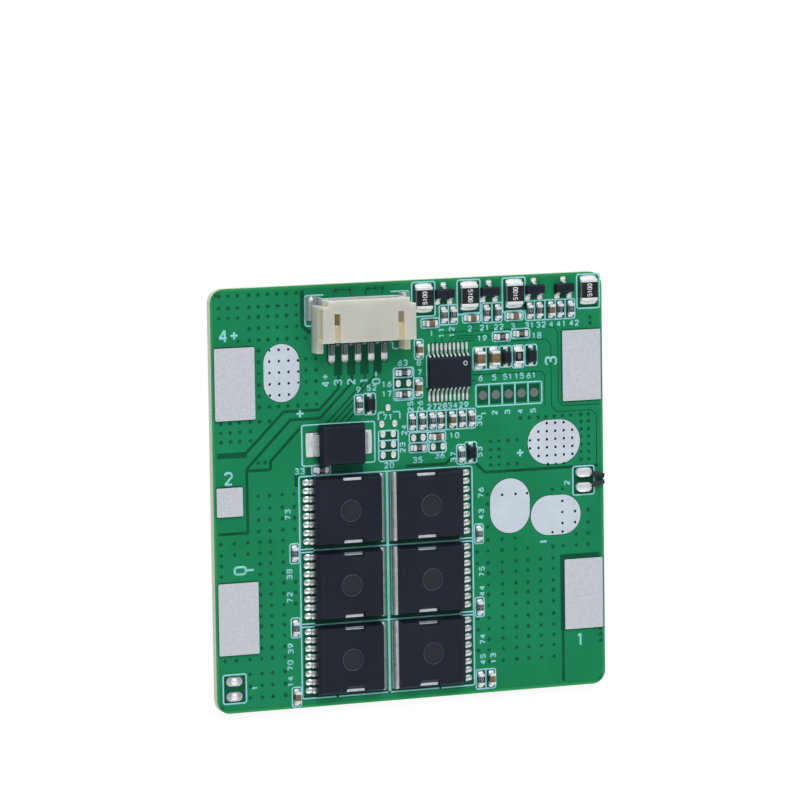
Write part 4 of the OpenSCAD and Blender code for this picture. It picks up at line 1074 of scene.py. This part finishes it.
HOLES = [
    ([1.3, 2.7, 4.1, 5.8, 7.2, 8.6, 10, 11.4, 12.9], [59, 57.3, 55.9]),
    ([5.8, 7.2, 8.6, 10, 11.4, 12.9], [54.3, 52.6]), ([4.1, 14.2], [52.6]),
    ([7.1], [51.1, 49.5, 47.9, 46.3, 44.7]), ([7.1, 8.6, 10, 11.4, 12.9], [43.1]),
    ([14.2, 15.7], [49.6, 48, 46.4, 44.7, 43.1]), ([1.3, 2.7, 4.1, 5.7], [41.1, 39.8, 38.5]),
    ([7.1, 8.6], [41.1]), ([6.8, 7.8], [35.3]), ([6.7, 8.4, 10.3, 12.1], [30.6, 28.8, 27.2, 25.6]),
    ([1, 3, 5], [24.1, 22.5]), ([1], [21, 19.5]), ([6.8, 8.4, 10.3], [24.1, 22.5, 21, 19.5]),
    ([6.8, 8.4, 10.3, 12.1], [18.1, 16.6, 15]), ([6.8, 8.4, 10.3], [13.5, 12.1, 10.6, 9]),
    ([1.3, 3, 5, 6.8, 8.4, 10.3], [7.5]), ([5, 6.8, 8.4, 10.3], [5.4, 3.7, 2]),
    ([40, 41.7, 43.9, 46], [22.1]), ([40, 41.7, 43.9, 46, 47.9, 51.9, 53.5, 55.6, 57.5], [20.5]),
    ([55.6, 57.5], [22.1]), ([41.7, 43.9, 46, 47.9, 49.9, 51.9],
                             [18.8, 17.3, 15.6, 14.2, 12.6, 10.8, 9.2, 7.7, 6.2, 4.5]),
    ([40], [18.8, 10.8, 9.2, 6.2]), ([41.7], [28.7, 27.3, 24]), ([51.9, 53.5], [28.8]),
    ([57.5], [25.5, 23.7]), ([59.3], [8, 7.2, 6.3]), ([58.1], [53.4, 52.6]),
    ([42.3, 43.6], [36.3, 35.1, 34, 32.9]), ([45, 46.4], [36.3, 32.9]),
    ([47, 48.4, 49.8, 51, 52.3, 53.6, 54.9], [39.4]),
    ([56.5, 57.7], [39.4, 38.4, 37.3, 36.2, 35.1, 34, 32.9]),
    ([18.9, 21, 23.7, 24.9, 26], [59.1]),
]
LINE_HOLES = [([18.2, 26.15, 34], [1.25])]
PAD_RIM_HOLES = [([13], [49.46, 47.89, 46.33]), ([8.76], [51.07]), ([51.24, 52.49, 53.73], [32.51])]
OPEN_HOLES = [([8.4], [25.6, 2]), ([1], [22.5]), ([10.3], [57.3]), ([46], [15.6, 4.5]), ([51.9], [10.8]),
              ([58.1], [52.6])]
HOLE_MASK = finish(
    "mask_over_hole", (17, 104, 69), (20, 112, 74), 600, 3000, (0.36, 0.46), 0.15,
    Specular_IOR_Level=0.1)
HOLE_DARK = finish(
    "hole_mouth", (9, 76, 50), (11, 86, 57), 900, 3000, (0.36, 0.46), 0.2, Specular_IOR_Level=0.1)
# Open holes are near black discs, not cut: painted shade.
PAINTED_HOLE_SHADE = finish(
    "painted_shade_in_holes", (10, 24, 20), (16, 34, 28), 900, 3000, (0.4, 0.5), 0.2, Specular_IOR_Level=0.1)
DOTS = dot_tree()


def dots(name, rows, radius, top, height, level, made):
    places = [spot(x, y, level) for xs, ys in rows for x in xs for y in ys]
    points = bpy.data.meshes.new(name)
    points.from_pydata(places, [], [])
    mesh = run_tree(helper(name, points), DOTS, **{
        "Dot Radius": radius * MM, "Top Radius": top * MM, "Dot Height": height * MM, "Seed": SEED,
        "Finish": made})
    keep(name, mesh, made)
    return len(places)


count = dots("covered_hole_rims", HOLES, 0.33, 0.26, 0.012, SKIN, HOLE_MASK)
dots("covered_hole_mouths", HOLES, 0.22, 0.17, 0.006, SKIN + 0.007 * MM, HOLE_DARK)
dots("open_holes_painted_shade", OPEN_HOLES, 0.13, 0.1, 0.006, SKIN + 0.011 * MM, PAINTED_HOLE_SHADE)
dots("printed_hole_mouths", LINE_HOLES, 0.2, 0.16, 0.006, SKIN + 0.03 * MM, HOLE_DARK)
PAD_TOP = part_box("pack_plus_pads")[1][2]
dots("pad_rim_holes", PAD_RIM_HOLES, 0.19, 0.17, 0.006, PAD_TOP + 0.004 * MM, PAINTED_HOLE_SHADE)
dots("rear_hole_rims", HOLES, 0.26, 0.33, 0.012, BOARD_LO[2], HOLE_MASK)
dots("rear_hole_mouths", HOLES, 0.17, 0.22, 0.006, BOARD_LO[2] - 0.007 * MM, HOLE_DARK)
print("covered holes:", count)

# %% [markdown]
# The terminals are numbered from the most negative cell to the most positive, with a plus and a
# minus at the ends, and the parts carry plain running numbers. A font could set them, but a board's
# print has strokes of one even width. So the figures are drawn with strokes on a small grid, as a
# plotter would draw them, and swept by the same tree.

# %% Stroke figures
FIGURES = {
    "0": [((.2, 0), (0, .3), (0, 1.3), (.2, 1.6), (.8, 1.6), (1, 1.3), (1, .3), (.8, 0), (.2, 0))],
    "1": [((.15, 1.25), (.5, 1.6)), ((.5, 1.6), (.5, 0))],
    "2": [((0, 1.3), (.2, 1.6), (.8, 1.6), (1, 1.3), (1, 1.05), (0, 0)), ((0, 0), (1, 0))],
    "3": [((0, 1.35), (.2, 1.6), (.8, 1.6), (1, 1.35), (1, 1.1), (.8, .85), (.35, .85)),
          ((.8, .85), (1, .6), (1, .25), (.8, 0), (.2, 0), (0, .25))],
    "4": [((.75, 0), (.75, 1.6)), ((.75, 1.6), (0, .5)), ((0, .5), (1, .5))],
    "5": [((1, 1.6), (.05, 1.6), (0, .9), (.75, .95), (1, .7), (1, .3), (.75, 0), (.2, 0), (0, .25))],
    "6": [((0, .6), (0, .3), (.2, 0), (.8, 0), (1, .3), (1, .6), (.8, .9), (.2, .9), (0, .6)),
          ((.9, 1.6), (.3, 1.2), (0, .6))],
    "7": [((0, 1.6), (1, 1.6)), ((1, 1.6), (.35, 0))],
    "8": [((.2, .85), (0, 1.1), (0, 1.35), (.2, 1.6), (.8, 1.6), (1, 1.35), (1, 1.1), (.8, .85), (.2, .85)),
          ((.2, .85), (0, .6), (0, .25), (.2, 0), (.8, 0), (1, .25), (1, .6), (.8, .85), (.2, .85))],
    "9": [((1, 1), (1, 1.3), (.8, 1.6), (.2, 1.6), (0, 1.3), (0, 1), (.2, .7), (.8, .7), (1, 1)),
          ((.1, 0), (.7, .4), (1, 1))],
    "+": [((0, .8), (1, .8)), ((.5, .3), (.5, 1.3))],
    "-": [((0, .8), (1, .8))],
}


def figures(text, x, y, tall, turn=0, level=SKIN, step=1.6, narrow=1):
    """Strokes of a number, centred on a place and turned. A stroke that ends where it starts is a ring."""
    unit = tall / 1.6
    swing = Matrix.Rotation(math.radians(turn), 2)
    shift = ((len(text) - 1) * step + 1) / 2
    made = []
    for i, sign in enumerate(text):
        for k, stroke in enumerate(FIGURES[sign]):
            ring = stroke[0] == stroke[-1]
            ends = [swing @ Vector(((px + i * step - shift) * unit * narrow, (py - 0.8) * unit))
                    for px, py in (stroke[:-1] if ring else stroke)]
            made.append(([spot(x + p.x, y + p.y, level + (i + 2 * k) * INK_STEP) for p in ends], ring))
    return made


TERMINALS = [("4+", 2.7, 53.4, 0), ("2", 2.3, 33.3, 0), ("0", 3.8, 20.2, 90), ("-", 5.3, 20.2, 0),
             ("1", 56.1, 6.7, 0), ("3", 51.9, 47.4, 90), ("+", 13.2, 41.9, 0), ("+", 46.9, 34.4, 0),
             ("-", 50.4, 21.3, 0)]
PINS = [("4+", 17.1, 46.4, 90), ("3", 19, 46, 90), ("2", 21, 46, 90), ("1", 22.95, 46.1, 90),
        ("0-", 24.8, 46.4, 90)]
NUMBERS = [
    ("1", 33.4, 52.3, 0), ("11", 34.9, 52.3, 90), ("12", 36.5, 52.3, 90), ("2", 39.3, 52.7, 0),
    ("21", 41.6, 52.7, 0), ("22", 43.8, 52.7, 0), ("3", 46, 52.7, 0), ("31", 48.6, 52.7, 0),
    ("32", 50.4, 52.7, 0), ("4", 52, 52.7, 0), ("41", 53.6, 52.7, 0), ("42", 55.6, 52.7, 0),
    ("19", 41.2, 51.2, 0), ("18", 49.7, 51.2, 0), ("6", 40.9, 45.5, 0), ("5", 43, 45.5, 0),
    ("51", 45.1, 45.5, 0), ("15", 46.9, 45.5, 0), ("61", 48.8, 45.5, 0), ("8", 31.4, 48.2, 0),
    ("7", 31.5, 46.8, 0), ("63", 28.9, 48.3, 0), ("16", 26.4, 45.4, 0), ("17", 26.4, 44, 0),
    ("9", 22.1, 44.8, 0), ("52", 24.1, 45, 0), ("71", 26.5, 40.7, 0), ("20", 26.6, 33.8, 0),
    ("23", 28.7, 36.2, 90), ("24", 29, 38.7, 90), ("33", 13, 33.75, 0), ("25", 30, 42, 90),
    ("26", 31.5, 42, 90), ("27", 33.3, 41.8, 0), ("28", 34.9, 41.8, 0), ("34", 36.5, 41.8, 0),
    ("29", 38.2, 41.8, 0), ("10", 36.7, 37.5, 0), ("30", 40.6, 39.4, 90), ("35", 31, 34.3, 0),
    ("36", 34.4, 34.75, 0), ("37", 36.5, 34.4, 90), ("53", 40.6, 34.9, 90), ("73", 11.1, 27.7, 90),
    ("38", 11.2, 19.2, 90), ("72", 11.2, 15.9, 90), ("39", 11.2, 8.6, 90), ("70", 11.1, 6.2, 90),
    ("14", 11.1, 3.9, 90), ("76", 40.7, 29, 90), ("43", 40.7, 25.9, 90), ("75", 40.7, 17.6, 90),
    ("44", 40.7, 14.8, 90), ("74", 40.7, 7.8, 90), ("45", 40.7, 4.9, 90), ("13", 42.3, 4.9, 90),
    ("1", 41.3, 40.4, 90), ("2", 43, 40.4, 90), ("3", 45, 40.4, 90), ("4", 47, 40.4, 90),
    ("5", 49, 40.4, 90), ("1", 5.7, 3.4, 90), ("2", 54.2, 29.6, 90),
]
for name, labels, tall, width, corner, shape in (
        ("terminal_numbers", TERMINALS, 1.65, 0.32, 0.06, {}), ("pin_numbers", PINS, 1.05, 0.26, 0.05, {}),
        ("part_numbers", NUMBERS, 0.72, 0.2, 0.04, {"step": 1.7, "narrow": 1.1})):
    strokes = [stroke for text, x, y, turn in labels for stroke in figures(text, x, y, tall, turn, **shape)]
    ink(name, strokes, width, corner, PRINT)
    print(name, "have", len(strokes), "strokes")

# %% [markdown]
# The four large resistors carry their value in white, and the small ones a fainter number. The cases
# carry round mould marks: one in the middle of each power transistor, with a smooth floor that is
# painted a little lighter than the case as its sheen, and a small one at the controller's first
# lead. A picture of the marks would have to be unwrapped onto dozens of small faces, so they are thin
# strokes, rings and discs that lie on the parts.

# %% Marks on the parts
VALUE = finish("white_value", (226, 228, 228), (206, 208, 210), 900, 5000, (0.5, 0.6), 0.15)
CODE = finish("pale_code", (176, 180, 184), (150, 154, 158), 900, 5000, (0.5, 0.6), 0.15)
# The mark's floor is painted lighter than the case: a painted sheen.
PAINTED_MARK_SHEEN = finish(
    "mould_mark_painted_sheen", (36, 38, 45), (40, 42, 49), 300, 9000, (0.45, 0.55), 0.2, Specular_IOR_Level=0.25)
MARK = finish("pale_mark", (86, 88, 96), (70, 72, 80), 900, 6000, (0.4, 0.5), 0.15)
RING_R, FLOOR_R, FLOOR_H, CORNERS = 1.52, 1.44, 0.004 * MM, 40


def circle(x, y, radius, z=SKIN):
    turns = [math.tau * k / CORNERS for k in range(CORNERS)]
    return [spot(x + radius * math.cos(a), y + radius * math.sin(a), z) for a in turns]


values = []
for i in range(1, 5):
    low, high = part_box(f"balance_resistor_{i}")
    x, y = from_corner((Vector(low) + Vector(high)) / 2)
    top = high[2] + 0.03 * MM
    values += figures("5100", x, y, 0.62, -90 if i == 2 else 90, top, 1.5, 0.82)
ink("resistor_values", values, 0.14, 0.02, VALUE)
codes = []
for points in islands("resistor_coats"):
    middle, size = middle_and_size(points)
    if max(size) < 2 * MM:
        turn = 90 if size.y > size.x else 0
        codes += figures("103", *from_corner(middle), 0.42, turn, middle.z + size.z / 2, 1.6, 0.7)
ink("chip_codes", codes, 0.075, 0.01, CODE)
rings, floors = [], bmesh.new()
for i in range(1, 7):
    body = f"mosfet_{i}_body"
    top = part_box(body)[1][2]
    recess = [v.co for v in NODES[body].data.vertices if 0.02 * MM < top - v.co.z < 0.15 * MM]
    x, y = from_corner(middle_and_size(recess)[0])
    bottom = min(p.z for p in recess)
    prism(floors, circle(x, y, FLOOR_R), bottom, bottom + FLOOR_H)
    rings.append((circle(x, y, RING_R, top), True))
keep("mould_mark_floors", as_mesh("mould_mark_floors", floors), PAINTED_MARK_SHEEN)
ink("mould_marks", rings, 0.07, 0, MARK)
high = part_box("controller_body")[1]
x, y = from_corner(Vector(high))
ink("first_lead_mark", [(circle(x - 1, y - 0.95, 0.27, high[2]), True)], 0.2, 0, CODE)
print("marks:", len(rings) + 1, "and", len(values) + len(codes), "strokes of value")
